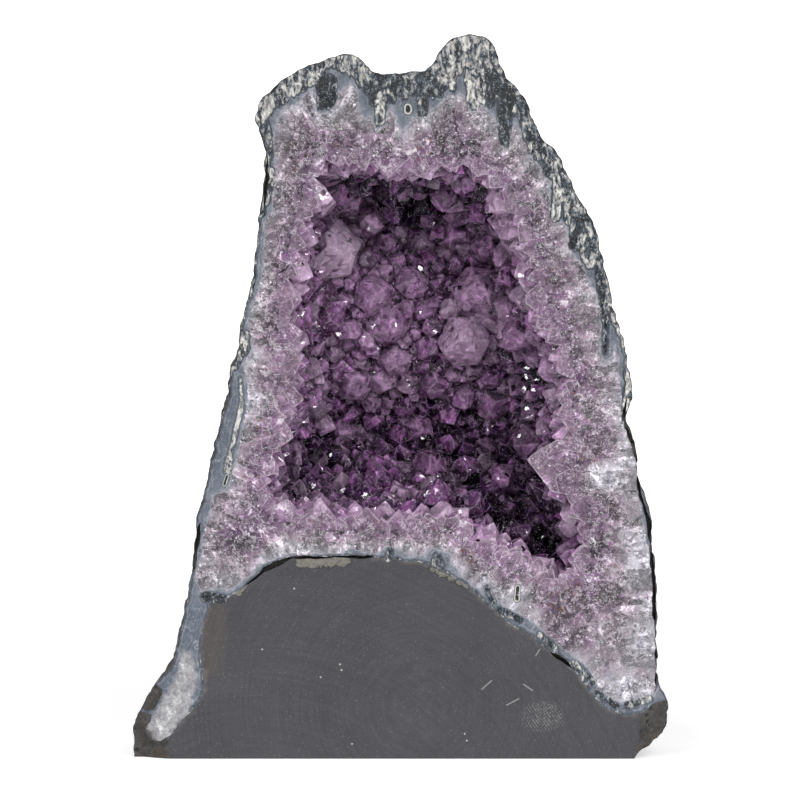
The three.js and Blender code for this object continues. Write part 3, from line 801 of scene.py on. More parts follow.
# Where the blue-grey agate meets the quartz: x, z, clockwise as seen from the front.
AGATE_EDGE = [
    (-85.8, 75), (-82.9, 82.1), (-82.1, 90.8), (-79.6, 100.5), (-77.9, 109.4), (-73.3, 111.5), (-70.4, 113.5),
    (-69.2, 121.8), (-67.1, 127.2), (-65.1, 138.4), (-63, 147.1), (-63.6, 157.5), (-65.1, 164.1),
    (-61.5, 169.1), (-61.5, 174.5), (-63, 181.5), (-61.5, 188.1), (-58.2, 195.8), (-56.8, 203.5),
    (-56.2, 214.2), (-56.2, 221.9), (-52.6, 228.1), (-52.6, 236.2), (-52, 242.4), (-51.4, 247.4),
    (-52.6, 256.3), (-51.4, 262.1), (-50.6, 265.2), (-49.1, 268.3), (-47.2, 270.2), (-42.5, 271.8),
    (-39.8, 274.7), (-36.5, 277.9), (-35.2, 275.6), (-34.4, 271.4), (-35.2, 269.4), (-33.4, 267.5),
    (-29.8, 268.3), (-26.7, 270.8), (-25.3, 276.4), (-23, 278.1), (-20.3, 280.1), (-18, 277.2), (-16.8, 269.4),
    (-14.5, 265.2), (-12.2, 266.9), (-11.4, 263.8), (-8.7, 261.5), (-6.2, 262.9), (-5.2, 267.5), (-3.3, 270.4),
    (-1.7, 266.5), (-1, 262.9), (1.2, 260.7), (3.1, 262.1), (5.2, 265.8), (8.5, 266.5), (11.2, 266.9),
    (13.1, 269.2), (18, 273.3), (20.3, 274.7), (24.7, 275.6), (27.4, 274.7), (28.8, 269.8), (30.7, 268.3),
    (32.7, 271), (34.2, 272.3), (35.4, 269.2), (38.1, 267.1), (40.4, 264.4), (40.4, 257.5), (42.3, 254),
    (44.5, 254.9), (45.4, 259.4), (47.7, 263.8), (49.5, 260.7), (50.8, 257.1), (53, 254.9), (53.9, 249.9),
    (56.4, 247.4), (59.7, 242.4), (62.4, 239.1), (61.7, 235), (61.7, 226.7), (63.6, 222.5), (66.1, 222.9),
    (68.8, 222.1), (69.6, 217.8), (70.9, 212.2), (72.3, 208.7), (75.4, 206), (78.5, 198.1), (82.5, 191.2),
    (83.3, 181.1), (82.5, 169.9), (85.2, 164.9), (87.6, 166.4), (88.9, 171.8), (90.5, 166.4), (91, 157.9),
    (92, 149.2), (94.1, 140.9), (96.1, 132.6), (97.8, 124.3), (99.5, 111.9), (101.1, 96.1), (105.3, 76.2),
    (106.5, 65.1), (106.9, 50.1), (107.7, 29.8), (105.5, 26.5), (99, 23.6), (92.8, 23.2), (87.2, 24.9),
    (82.5, 28), (80.8, 31.9), (79.4, 36.7), (73.8, 41.4), (69, 44.8), (65.1, 48.5), (58.6, 54.1), (54.7, 57.4),
    (47.7, 61.3), (42.9, 63.6), (39.8, 67.5), (37.3, 72.7), (34.8, 72.7), (33.4, 70.4), (30, 71.7),
    (24.7, 77.1), (21.5, 81.2), (20.7, 85.4), (16.6, 87), (12.6, 87.4), (10.4, 84.3), (3.9, 84.3), (0, 87.4),
    (-5.8, 88.3), (-8.9, 85.2), (-14.5, 85.6), (-20.1, 87.9), (-24, 85.6), (-32.7, 85.2), (-40.6, 84.7),
    (-47.9, 84.3), (-52.6, 83.1), (-58.2, 80.4), (-61.3, 77.1), (-66.9, 73.1), (-69.2, 70.9), (-71.7, 70.4),
    (-77.9, 70.9), (-82.1, 69.6),
]
# The mottled rind at the stone's edge: x, z, depth, darkness.
RIND = [
    (-97.4, 33.2, 0.12, 0.6), (-87, 66.3, 0.24, 0.6), (-82.9, 82.9, 0.36, 0.6), (-80, 107.7, 0.36, 0.6),
    (-76.7, 124.3, 0.36, 0.6), (-72.9, 145, 0.36, 0.6), (-69.6, 157.5, 0.48, 0.6), (-67.1, 165.8, 2.5, 0.3),
    (-65.9, 172, 4.1, 0.15), (-65.1, 178.2, 1.02, 0.5), (-63.4, 186.5, 0.6, 0.6), (-61.7, 192.7, 1.02, 0.2),
    (-60.1, 198.9, 1.02, 0.6), (-59.3, 206.4, 0.72, 0.6), (-58.4, 213.4, 0.72, 0.6), (-57.6, 221.7, 0.72, 0.6),
    (-57.2, 227.9, 2.1, 0.5), (-56.4, 232.9, 3.7, 0.3), (-55.9, 236.2, 3.7, 0.7), (-55.1, 242.4, 4.1, 0.05),
    (-55.1, 247.4, 2.5, 0.2), (-55.9, 252.8, 2.5, 0.7), (-56.4, 256.9, 3.7, 0.5), (-57.2, 262.3, 4.6, 0.5),
    (-59.3, 267.3, 5.8, 0.3), (-56.8, 273.5, 7.5, 0.35), (-53, 278.5, 7.5, 0.35), (-47.7, 282.6, 8.3, 0.3),
    (-41.4, 285.9, 8.3, 0.45), (-36.5, 287.2, 9.1, 0.3), (-31.1, 289.3, 3.3, 0.4), (-26.9, 290.9, 4.1, 0.2),
    (-22.8, 292.6, 10.4, 0.25), (-19.9, 292.6, 11.6, 0.3), (-15.7, 290.1, 7.5, 0.2), (-12.4, 286.8, 5.8, 0.3),
    (-9.9, 285.1, 10.4, 0.8), (-6.2, 284.3, 8.3, 0.6), (-3.3, 285.1, 10.4, 0.85), (0, 285.5, 8.3, 0.8),
    (2.9, 285.9, 9.9, 0.7), (5.8, 285.5, 5.8, 0.5), (8.3, 285.5, 14.5, 0.75), (11.6, 287.2, 12.4, 0.6),
    (13.7, 289.3, 9.9, 0.3), (16.6, 294.2, 12.4, 0.2), (20.7, 297.5, 14.1, 0.15), (24.9, 298.8, 14.5, 0.12),
    (29, 299.2, 18.6, 0.15), (33.2, 298.8, 15.7, 0.35), (36.5, 295.1, 12.4, 0.4), (39, 290.1, 5.8, 0.4),
    (41.4, 286.8, 2.5, 0.2), (44.3, 283.4, 3.3, 0.9), (48.9, 278.5, 5.8, 0.8), (53, 272.7, 5, 0.7),
    (56.4, 267.3, 5, 0.4), (58.4, 261.1, 4.1, 0.4), (60.1, 256.9, 4.1, 0.8), (63, 253.6, 4.1, 0.6),
    (66.3, 247.4, 5, 0.3), (69.6, 241.2, 5, 0.2), (73.3, 235, 5, 0.6), (75.8, 230.8, 4.1, 0.4),
    (78.7, 224.6, 3.3, 0.7), (81.6, 218.4, 3.3, 0.3), (82.9, 211.3, 3.7, 0.4), (84.5, 203.1, 2.5, 0.5),
    (87, 192.7, 2.1, 0.3), (88.7, 184.4, 2.1, 0.3), (91.2, 174, 1.2, 0.3), (94.1, 165.8, 0.8, 0.4),
    (95.3, 157.5, 2.5, 0.2), (96.1, 149.2, 2.9, 0.1), (98.2, 136.8, 0.8, 0.5), (99.5, 120.2, 0.4, 0.4),
    (104.4, 82.9, 0.3, 0.5), (107.7, 33.2, 0.3, 0.6), (109.4, 20.7, 0, 0.6), (107.7, 6.2, 0, 0.6),
    (66.3, 0, 0, 0.6), (0, 0, 0, 0.6), (-66.3, 0, 0, 0.6), (-110.6, 6.2, 0, 0.6), (-103.6, 24.9, 0, 0.6),
]
# Streaks that hang from the rind: x, z, half width at the top and at the foot, darkness.
STREAKS = [
    (-30.3, 280.1, 3.7, -30.3, 273.5, 3.3, 1), (-31.1, 273.5, 1.7, -32.3, 270.2, 0.8, 1),
    (-7.9, 279.7, 2.5, -8.3, 264.4, 1.9, 0.25), (-11.2, 282.6, 1.2, -10.8, 271.8, 1.2, 0.9),
    (-1.2, 281.8, 1.2, -2.9, 273.5, 1, 0.7), (2.5, 282.6, 1.2, 2.1, 274.7, 1, 0.6),
    (7, 282.6, 1, 7.5, 273.9, 0.8, 0.4), (9.9, 282.6, 2.1, 9.5, 268.1, 1.7, 0.75),
    (13.3, 285.1, 1, 12.8, 274.7, 0.6, 0.05), (15.7, 282.6, 2.1, 16.2, 276.8, 1.7, 1),
    (21.5, 287.6, 1.2, 21.1, 278.5, 1, 0.05), (29, 294.2, 2.1, 29.4, 274.3, 1.7, 0.15),
    (33.2, 294.2, 1.7, 33.6, 272.7, 1.5, 0.15), (30.7, 273.5, 1.2, 31.1, 270.2, 1, 0.1),
    (38.1, 283.4, 2.9, 37.3, 271.8, 1.7, 1), (43.5, 282.6, 3.3, 43.9, 268.5, 2.5, 1),
    (43.1, 268.5, 2.5, 43.1, 254.4, 1.7, 0.85), (48.5, 275.6, 1.2, 47.7, 268.5, 0.8, 0.1),
    (51, 275.6, 2.1, 51.8, 261.1, 1.7, 0.55), (52.2, 261.9, 1, 52.2, 257.3, 0.8, 0),
    (54.3, 267.3, 1.7, 54.3, 252.8, 1.7, 0.25), (56.8, 261.1, 1.2, 56.8, 249.5, 1.2, 0.7),
    (60.5, 252.8, 2.5, 61.3, 243.7, 2.1, 0.6), (64.2, 246.6, 2.5, 67.1, 234.1, 2.5, 0.15),
    (65.5, 238.3, 2.1, 64.2, 225, 1.7, 0.1), (69.6, 236.2, 1.7, 69.6, 222.9, 1.2, 0.3),
    (73.8, 225.8, 2.5, 71.7, 213.4, 2.1, 0.85), (75.4, 215.5, 2.9, 78.7, 206.4, 2.5, 0.3),
    (82.5, 203.1, 1.2, 85, 182.3, 1.2, 0.6), (85, 183.2, 0.9, 85, 169.1, 0.8, 0.9),
    (94.9, 155.4, 1.7, 93.7, 147.1, 1.2, 0.1), (-64.2, 175.7, 2.1, -65.5, 169.1, 1.7, 0.1),
    (-66.1, 158.3, 0.4, -65.5, 147.1, 0.6, 0), (-65.5, 147.1, 1, -68, 136.8, 0.8, 0),
    (-68, 136.8, 0.8, -70.4, 126.4, 0.7, 0), (-70.9, 125.1, 1.2, -71.3, 120.2, 1.7, 0.05),
    (14.9, 84.5, 1, 13.7, 80.4, 0.8, 0.5), (16.2, 84.5, 0.6, 17.4, 80.4, 0.8, 0.4),
    (-4.1, 86.6, 1.2, -5, 82.9, 1.2, 0.35), (36.5, 71.3, 1.2, 38.5, 65.5, 1.2, 0.7),
    (41.4, 62.2, 1.2, 49.7, 58, 1.2, 0.6), (58, 51.8, 1, 64.6, 45.6, 1, 0.5),
    (72.5, 39.8, 1.2, 79.6, 31.5, 1.7, 0.5), (82.1, 27.4, 1.2, 90.3, 21.5, 1.2, 0.7),
    (94.5, 22.4, 1.7, 103.6, 24.9, 1.2, 0.45), (-80.4, 67.5, 2.1, -73.8, 66.3, 2.1, 0.9),
]
# Rings with a dark core: x, z of both ends, reach.
EYES = [
    (3.3, 270.2, 3.3, 268.9, 2.1), (48.9, 71.3, 48.5, 66.3, 1.5), (-71.7, 117.7, -72.9, 114, 1),
]
TAN_PATCHES = [
    (-41.4, 81.6, 2.1, -22.8, 82.5, 2.1, 0), (-63.8, 74.6, 1.7, -67.1, 69.6, 1.7, 0),
    (-72.1, 67.5, 1.2, -70.4, 69.6, 1.2, 0), (13.3, 79.2, 0.9, 27.4, 72.1, 0.9, 0),
]
PALE_DRUSE = [
    (-89.1, 43, 1.4, -88.7, 33, 4, 0), (-88.7, 33, 4, -93.5, 21.5, 5, 0),
    (-93.5, 21.5, 5, -100.3, 13, 4, 0), (-100.3, 13, 4, -97, 5.5, 2, 0),
]
BROWN_STREAKS = [
    (-80.4, 61.3, 1.2, -77.9, 38.1, 1.7, 0), (-74.6, 62.2, 1.2, -76.2, 45.6, 1.2, 0),
]
# Paler and darker spots in the sawn quartz: x, z, reach, by how much.
SHADES = [
    (85, 117.3, 7.5, 0.8), (99.5, 140.9, 6.2, 0.7), (99.5, 82.9, 9.1, 0.8), (103.6, 49.7, 8.3, 0.9),
    (93.2, 29, 6.2, 0.7), (72.5, 43.5, 3.3, 0.6), (-57.2, 149.2, 6.6, 0.5), (-72.5, 76.7, 8, 0.3), (-70, 86, 13, -0.35),
    (-41.4, 89.1, 12.4, 0.4), (-47.7, 190.6, 5.8, 0.3), (49.7, 68.4, 6.6, 0.7), (-66.3, 91.2, 6.6, -0.6),
    (-61.3, 90.3, 4.1, -0.7), (-44.8, 252.8, 7.5, -0.3), (68.4, 49.7, 10.4, -0.7), (76.7, 89.1, 6.6, -0.8),
    (80.8, 99.5, 5, -0.5), (-33.2, 248.6, 5, -0.4), (22.8, 263.1, 7.5, -0.4), (60.1, 225.8, 5.8, -0.5),
    (80.8, 118, 4.5, 0.9), (47, 88, 5, 0.5), (57, 77, 5, 0.5), (66.3, 178.2, 6.6, -0.4), (74.6, 157.5, 5.8, -0.3), (-41.4, 149.2, 3.3, -0.3), (-10.4, 256.9, 5.8, -0.2),
]


def streak_depth(flat, streaks):
    """How deep points lie inside tapering streaks, in millimetres, and the darkness of the nearest one."""
    depth, shade = np.full(len(flat), -99.0), np.zeros(len(flat))
    for x0, z0, wide0, x1, z1, wide1, dark in streaks:
        start, way = np.array([x0, z0]), np.array([x1 - x0, z1 - z0])
        along = np.clip((flat - start) @ way / (way @ way), 0, 1)
        inward = wide0 + (wide1 - wide0) * along - np.linalg.norm(flat - start - along[:, None] * way, axis=1)
        shade = np.where(inward > depth, dark, shade)
        depth = np.maximum(depth, inward)
    return depth, shade


def blended(flat, samples, values):
    """Values between scattered samples, mostly those of the nearest ones."""
    away = ((flat[:, None, :] - samples[None]) ** 2).sum(2)
    weight = 1 / (away + 1) ** 2.5
    return weight @ values / weight.sum(1)[:, None]


def mark_layers(piece):
    """Gives the materials the depths of a point of the sawn face within its layers, in millimetres."""
    corners = corners_of(piece)
    near = corners[:, 1] < FRONT + 12
    flat = corners[near][:, [0, 2]]
    edge = np.array(AGATE_EDGE)
    from_edge, _ = nearest(flat, STONE_RIM)
    from_rock, _ = nearest(flat, AGATE_RIM)
    from_quartz, around = nearest(flat, QUARTZ_RIM)
    from_cavity, _ = nearest(flat, CAVITY_RIM)
    agate, _ = nearest(flat, edge)
    agate = np.where(inside(flat, edge), -agate, agate)
    rind = np.array(RIND)
    depth, dark = blended(flat, rind[:, :2], rind[:, 2:]).T
    drip = np.clip(depth / 6, 0.12, 1)
    depth = depth - from_edge
    in_rock = ~inside(flat, AGATE_RIM)
    wedge = in_rock & (from_edge + from_rock > 9)
    # Along the rock under the cavity only a thin seam is mottled.
    seam = 0.3 - from_rock - np.clip(9 - from_edge, 0, 9)
    depth = np.where(wedge, np.maximum(seam - 0.1, np.minimum(depth, 2)), np.maximum(depth, seam))
    hanging, shade = streak_depth(flat, STREAKS)
    dark = np.where(hanging > np.maximum(depth, -0.4), shade, dark)
    rings = np.full(len(flat), 9.0)
    for x0, z0, x1, z1, reach in EYES:
        start, way = np.array([x0, z0]), np.array([x1 - x0, z1 - z0])
        along = np.clip((flat - start) @ way / (way @ way), 0, 1)
        rings = np.minimum(rings, np.linalg.norm(flat - start - along[:, None] * way, axis=1) / reach)
    shades = sum(a * np.exp(-((flat[:, 0] - x) ** 2 + (flat[:, 1] - z) ** 2) / (r * r)) for x, z, r, a in SHADES)
    for name, values in (
        ("rind", np.maximum(depth, hanging)), ("dark", dark), ("agate", agate), ("from_edge", from_edge),
        ("rings", rings), ("shade", shades), ("around", around), ("drip", drip), ("wedge", wedge.astype(float)),
        ("from_rock", from_rock), ("from_cavity", from_cavity), ("inner", np.where(agate < 0, agate / (agate - from_cavity - 1e-6), 0)),
        ("tan", streak_depth(flat, TAN_PATCHES)[0]), ("druse", streak_depth(flat, PALE_DRUSE)[0]),
        ("brown", streak_depth(flat, BROWN_STREAKS)[0]),
    ):
        everywhere = np.full(len(corners), 1.0 if name == "inner" else -9.0)
        everywhere[near] = values
        set_attribute(piece, name, everywhere)
    set_attribute(piece, "behind", corners[:, 1] - FRONT)


# --- Materials ----------------------------------------------------------------------------------------------


class Shader:
    """A material's nodes, in short words. Sizes of patterns are in millimetres."""

    def __init__(self, name, **sockets):
        self.material = bpy.data.materials.new(name)
        self.material.use_nodes = True
        self.tree = self.material.node_tree
        self.surface = self.tree.nodes["Principled BSDF"]
        for socket, value in sockets.items():
            self.surface.inputs[socket.replace("_", " ")].default_value = value
        position = self.node("TexCoord").outputs["Object"]
        self.place = self.vector("MULTIPLY", position, (1 / MM,) * 3)

    def node(self, kind, *values, **settings):
        node = self.tree.nodes.new("ShaderNode" + kind)
        for key, value in settings.items():
            setattr(node, key, value)
        for socket, value in zip(node.inputs, values):
            self.put(socket, value)
        return node

    def put(self, socket, value):
        if isinstance(value, bpy.types.NodeSocket):
            self.tree.links.new(value, socket)
        elif value is not None:
            socket.default_value = value

    def math(self, operation, a, b=0.0):
        return self.node("Math", a, b, operation=operation).outputs[0]

    def add(self, a, b, *more):
        return self.add(self.math("ADD", a, b), *more) if more else self.math("ADD", a, b)

    def times(self, a, b, *more):
        return self.times(self.math("MULTIPLY", a, b), *more) if more else self.math("MULTIPLY", a, b)

    def vector(self, operation, a, b):
        return self.node("VectorMath", a, b, operation=operation).outputs[0]

    def texture(self, kind, size, stretch, place, **settings):
        node = self.node(kind, **settings)
        self.put(node.inputs["Vector"], self.vector("DIVIDE", place or self.place, stretch))
        node.inputs["Scale"].default_value = 1 / size
        return node

    def noise(self, size, detail=2.0, rough=0.5, stretch=(1, 1, 1), place=None, warp=0.0):
        """Fractal noise, evenly spread from about 0 to 1."""
        node = self.texture("TexNoise", size, stretch, place, noise_dimensions="3D")
        for socket, value in (("Detail", detail), ("Roughness", rough), ("Distortion", warp)):
            node.inputs[socket].default_value = value
        return self.node("MapRange", node.outputs["Fac"], 0.28, 0.72, 0.0, 1.0).outputs[0]

    def cells(self, size, output="Distance", stretch=(1, 1, 1), place=None, feature="F1"):
        return self.texture("TexVoronoi", size, stretch, place, feature=feature).outputs[output]

    def attribute(self, name):
        return self.node("Attribute", attribute_name=name).outputs["Fac"]

    def separate(self, vector):
        return self.node("SeparateXYZ", vector).outputs

    def combine(self, x, y, z):
        return self.node("CombineXYZ", x, y, z).outputs[0]

    def ramp(self, factor, *stops):
        node = self.node("ValToRGB", factor)
        elements = node.color_ramp.elements
        for k, (position, colour) in enumerate(stops):
            element = elements[k] if k < 2 else elements.new(position)
            element.position = position
            element.color = (*colour, 1) if isinstance(colour, tuple) else (colour, colour, colour, 1)
        return node.outputs["Color"]

    def step(self, value, low, high):
        """Rises from 0 to 1 while the value goes from low to high."""
        if low > high:
            return self.math("SUBTRACT", 1.0, self.step(value, high, low))
        return self.node("MapRange", value, low, high, 0.0, 1.0, interpolation_type="SMOOTHSTEP").outputs[0]

    def peak(self, value, at, width):
        """Is 1 where the value is `at` and falls to 0 a width away."""
        return self.step(self.math("ABSOLUTE", self.math("SUBTRACT", value, at)), width, width * 0.25)

    def mix(self, factor, a, b, blend="MIX"):
        node = self.node("Mix", data_type="RGBA", blend_type=blend)
        self.put(node.inputs["Factor"], factor)
        for socket, value in (("A", a), ("B", b)):
            at = [s for s in node.inputs if s.name == socket and s.type == "RGBA"][0]
            self.put(at, (*value, 1) if isinstance(value, tuple) else value)
        return [s for s in node.outputs if s.type == "RGBA"][0]

    def shade(self, colour, amount):
        """A colour made lighter or darker by a factor."""
        return self.vector("MULTIPLY", colour, self.combine(amount, amount, amount))

    def bump(self, height, depth, strength=1.0, under=None):
        node = self.node("Bump")
        node.inputs["Strength"].default_value = strength
        node.inputs["Distance"].default_value = depth * MM
        self.put(node.inputs["Height"], height)
        self.put(node.inputs["Normal"], under)
        return node.outputs[0]

    def facets(self, size, tilt, amount=None, stretch=(1, 1, 1), place=None):
        """Normals that differ from cell to cell, as on broken or fine crystals."""
        lean = self.cells(size, "Color", stretch, place)
        lean = self.vector("MULTIPLY", self.vector("SUBTRACT", lean, (0.5, 0.5, 0.5)), (tilt, tilt, tilt))
        if amount is not None:
            lean = self.vector("MULTIPLY", lean, self.combine(amount, amount, amount))
        normal = self.node("NewGeometry").outputs["Normal"]
        return self.vector("NORMALIZE", self.vector("ADD", normal, lean), (0, 0, 0))

    def finish(self, colour, roughness=None, normal=None):
        self.put(self.surface.inputs["Base Color"], (*colour, 1) if isinstance(colour, tuple) else colour)
        self.put(self.surface.inputs["Roughness"], roughness)
        self.put(self.surface.inputs["Normal"], normal)
        return self.material


def add_rind(s, colour, front):
    """Lays the agate and the mottled rind of the sawn face over a colour."""
    agate, rind, dark, edge = (s.attribute(key) for key in ("agate", "rind", "dark", "from_edge"))
    wobble = s.math("SUBTRACT", s.noise(1.3, detail=3), 0.5)
    # The agate: a pale line against the quartz, then blue-grey, dark blue against the rind.
    depth = s.add(agate, s.times(wobble, 0.5))
    clouds = s.noise(3, detail=3, stretch=(1, 1, 1.8))
    band = s.ramp(s.node("MapRange", depth, -2.0, 8.0, 0.0, 1.0).outputs[0],
                  (0.0, (0.25, 0.21, 0.27)), (0.16, (0.28, 0.275, 0.33)), (0.225, (0.40, 0.40, 0.45)),
                  (0.28, (0.23, 0.245, 0.295)), (0.45, (0.16, 0.18, 0.225)), (0.7, (0.13, 0.15, 0.195)),
                  (1.0, (0.10, 0.12, 0.16)))
    cloud = s.mix(s.noise(2.2, detail=3), (0.065, 0.090, 0.120), (0.27, 0.295, 0.34))
    band = s.mix(s.times(clouds, s.step(depth, 0.2, 2.2), 0.75), band, cloud)
    veins = s.times(s.peak(s.noise(5, detail=1, warp=0.8), 0.5, 0.035), s.step(depth, 0.5, 2.0), 0.5)
    band = s.mix(veins, band, (0.48, 0.50, 0.54))
    band = s.shade(band, s.add(s.times(s.attribute("shade"), 0.7), 1.0))
    thick = s.step(s.attribute("drip"), 0.1, 0.36)
    outline = s.add(rind, s.times(wobble, 0.5),
                    s.times(s.math("SUBTRACT", s.noise(1.5, detail=2, stretch=(1, 1, 5)), 0.5), s.attribute("drip"), 1.8))
    band = s.mix(s.times(s.step(outline, -4.0, -0.4), s.step(depth, 0.3, 3.0), s.add(s.times(thick, 0.4), 0.25)), band,
                 (0.055, 0.068, 0.095))
    band = s.mix(s.times(s.peak(outline, -0.3, 0.6), s.add(s.times(thick, 0.5), 0.4)), band, (0.022, 0.030, 0.046))
    band = s.mix(s.times(s.peak(outline, -1.25, 0.45), s.noise(4), 0.55), band, (0.36, 0.375, 0.42))
    colour = s.mix(s.times(front, s.step(depth, -1.6, -0.1)), colour, band)
    # The rind: cream and grey with black hollows, blue-green where it is dark.
    blotch = s.noise(2.5, detail=4, rough=0.58, stretch=(1, 1, 1.9), warp=0.8)
    grain = s.noise(0.95, detail=3, rough=0.6, stretch=(1, 1, 1.8))
    light = s.add(s.times(blotch, 1.35), s.times(grain, 0.6), s.times(dark, -0.72), -0.28)
    crust = s.ramp(light, (0.06, (0.007, 0.010, 0.015)), (0.18, (0.020, 0.036, 0.055)),
                   (0.30, (0.055, 0.080, 0.11)), (0.42, (0.195, 0.205, 0.225)), (0.60, (0.40, 0.385, 0.36)),
                   (0.78, (0.62, 0.60, 0.57)), (1.0, (0.82, 0.81, 0.78)))
    hollows = s.noise(1.5, detail=3, rough=0.6, stretch=(1, 1, 2.2), warp=0.6)
    hollow = s.times(s.step(hollows, 0.33, 0.24), s.step(s.noise(7, detail=2), 0.25, 0.5))
    crust = s.mix(s.times(hollow, 0.93), crust, (0.006, 0.007, 0.009))
    specks = s.step(s.noise(0.6, detail=2), 0.80, 0.95)
    crust = s.mix(s.times(specks, 0.55), crust, (0.66, 0.66, 0.64))
    colour = s.mix(s.times(front, s.step(outline, -0.3, 0.25)), colour, crust)
    # Rings with a dark core.
    rings = s.add(s.attribute("rings"), s.times(wobble, 0.12))
    eye = s.ramp(s.math("MULTIPLY", rings, 0.5), (0.12, (0.006, 0.007, 0.01)), (0.22, (0.03, 0.03, 0.035)),
                 (0.27, (0.62, 0.61, 0.57)), (0.36, (0.62, 0.61, 0.57)), (0.42, (0.03, 0.04, 0.055)), (0.50, (0.13, 0.16, 0.21)))
    colour = s.mix(s.times(front, s.step(rings, 1.05, 0.9)), colour, eye)
    skin = s.step(s.add(edge, s.times(wobble, 0.8)), 0.75, 0.25)
    return s.mix(s.times(front, skin, s.add(s.times(thick, 0.25), 0.6)), colour, (0.028, 0.025, 0.027))


def sawn_front(s, limit=2.5):
    return s.step(s.attribute("behind"), limit, limit * 0.5)


def natural_rock(s):
    """The unsawn rock: grey-brown and rust, with gas pits painted near black as shade, and paler grains."""
    grain = s.noise(1.6, detail=5, rough=0.7)
    rock = s.ramp(s.add(s.times(grain, 0.45), s.times(s.noise(14, detail=3), 0.3), s.times(s.noise(4.5, detail=3), 0.25)),
                  (0.15, (0.026, 0.025, 0.025)), (0.45, (0.070, 0.067, 0.065)), (0.75, (0.120, 0.113, 0.104)), (1.0, (0.22, 0.21, 0.19)))
    rock = s.mix(s.times(s.step(s.noise(19, detail=4, rough=0.6), 0.55, 0.85), 0.5), rock, (0.13, 0.088, 0.058))
    rock = s.mix(s.times(s.step(s.noise(11, detail=4, rough=0.6), 0.62, 0.9), 0.4), rock, (0.085, 0.10, 0.088))
    rock = s.mix(s.times(s.step(s.noise(0.9, detail=3), 0.80, 0.95), 0.5), rock, (0.33, 0.31, 0.28))
    # Gas pits, painted near black as the shade inside them; the basalt's bump also dents them.
    pits = s.times(s.step(s.cells(3.4), 0.34, 0.20), s.step(s.noise(8, detail=2), 0.4, 0.6))
    return s.mix(s.times(pits, 0.8), rock, (0.018, 0.017, 0.017)), pits


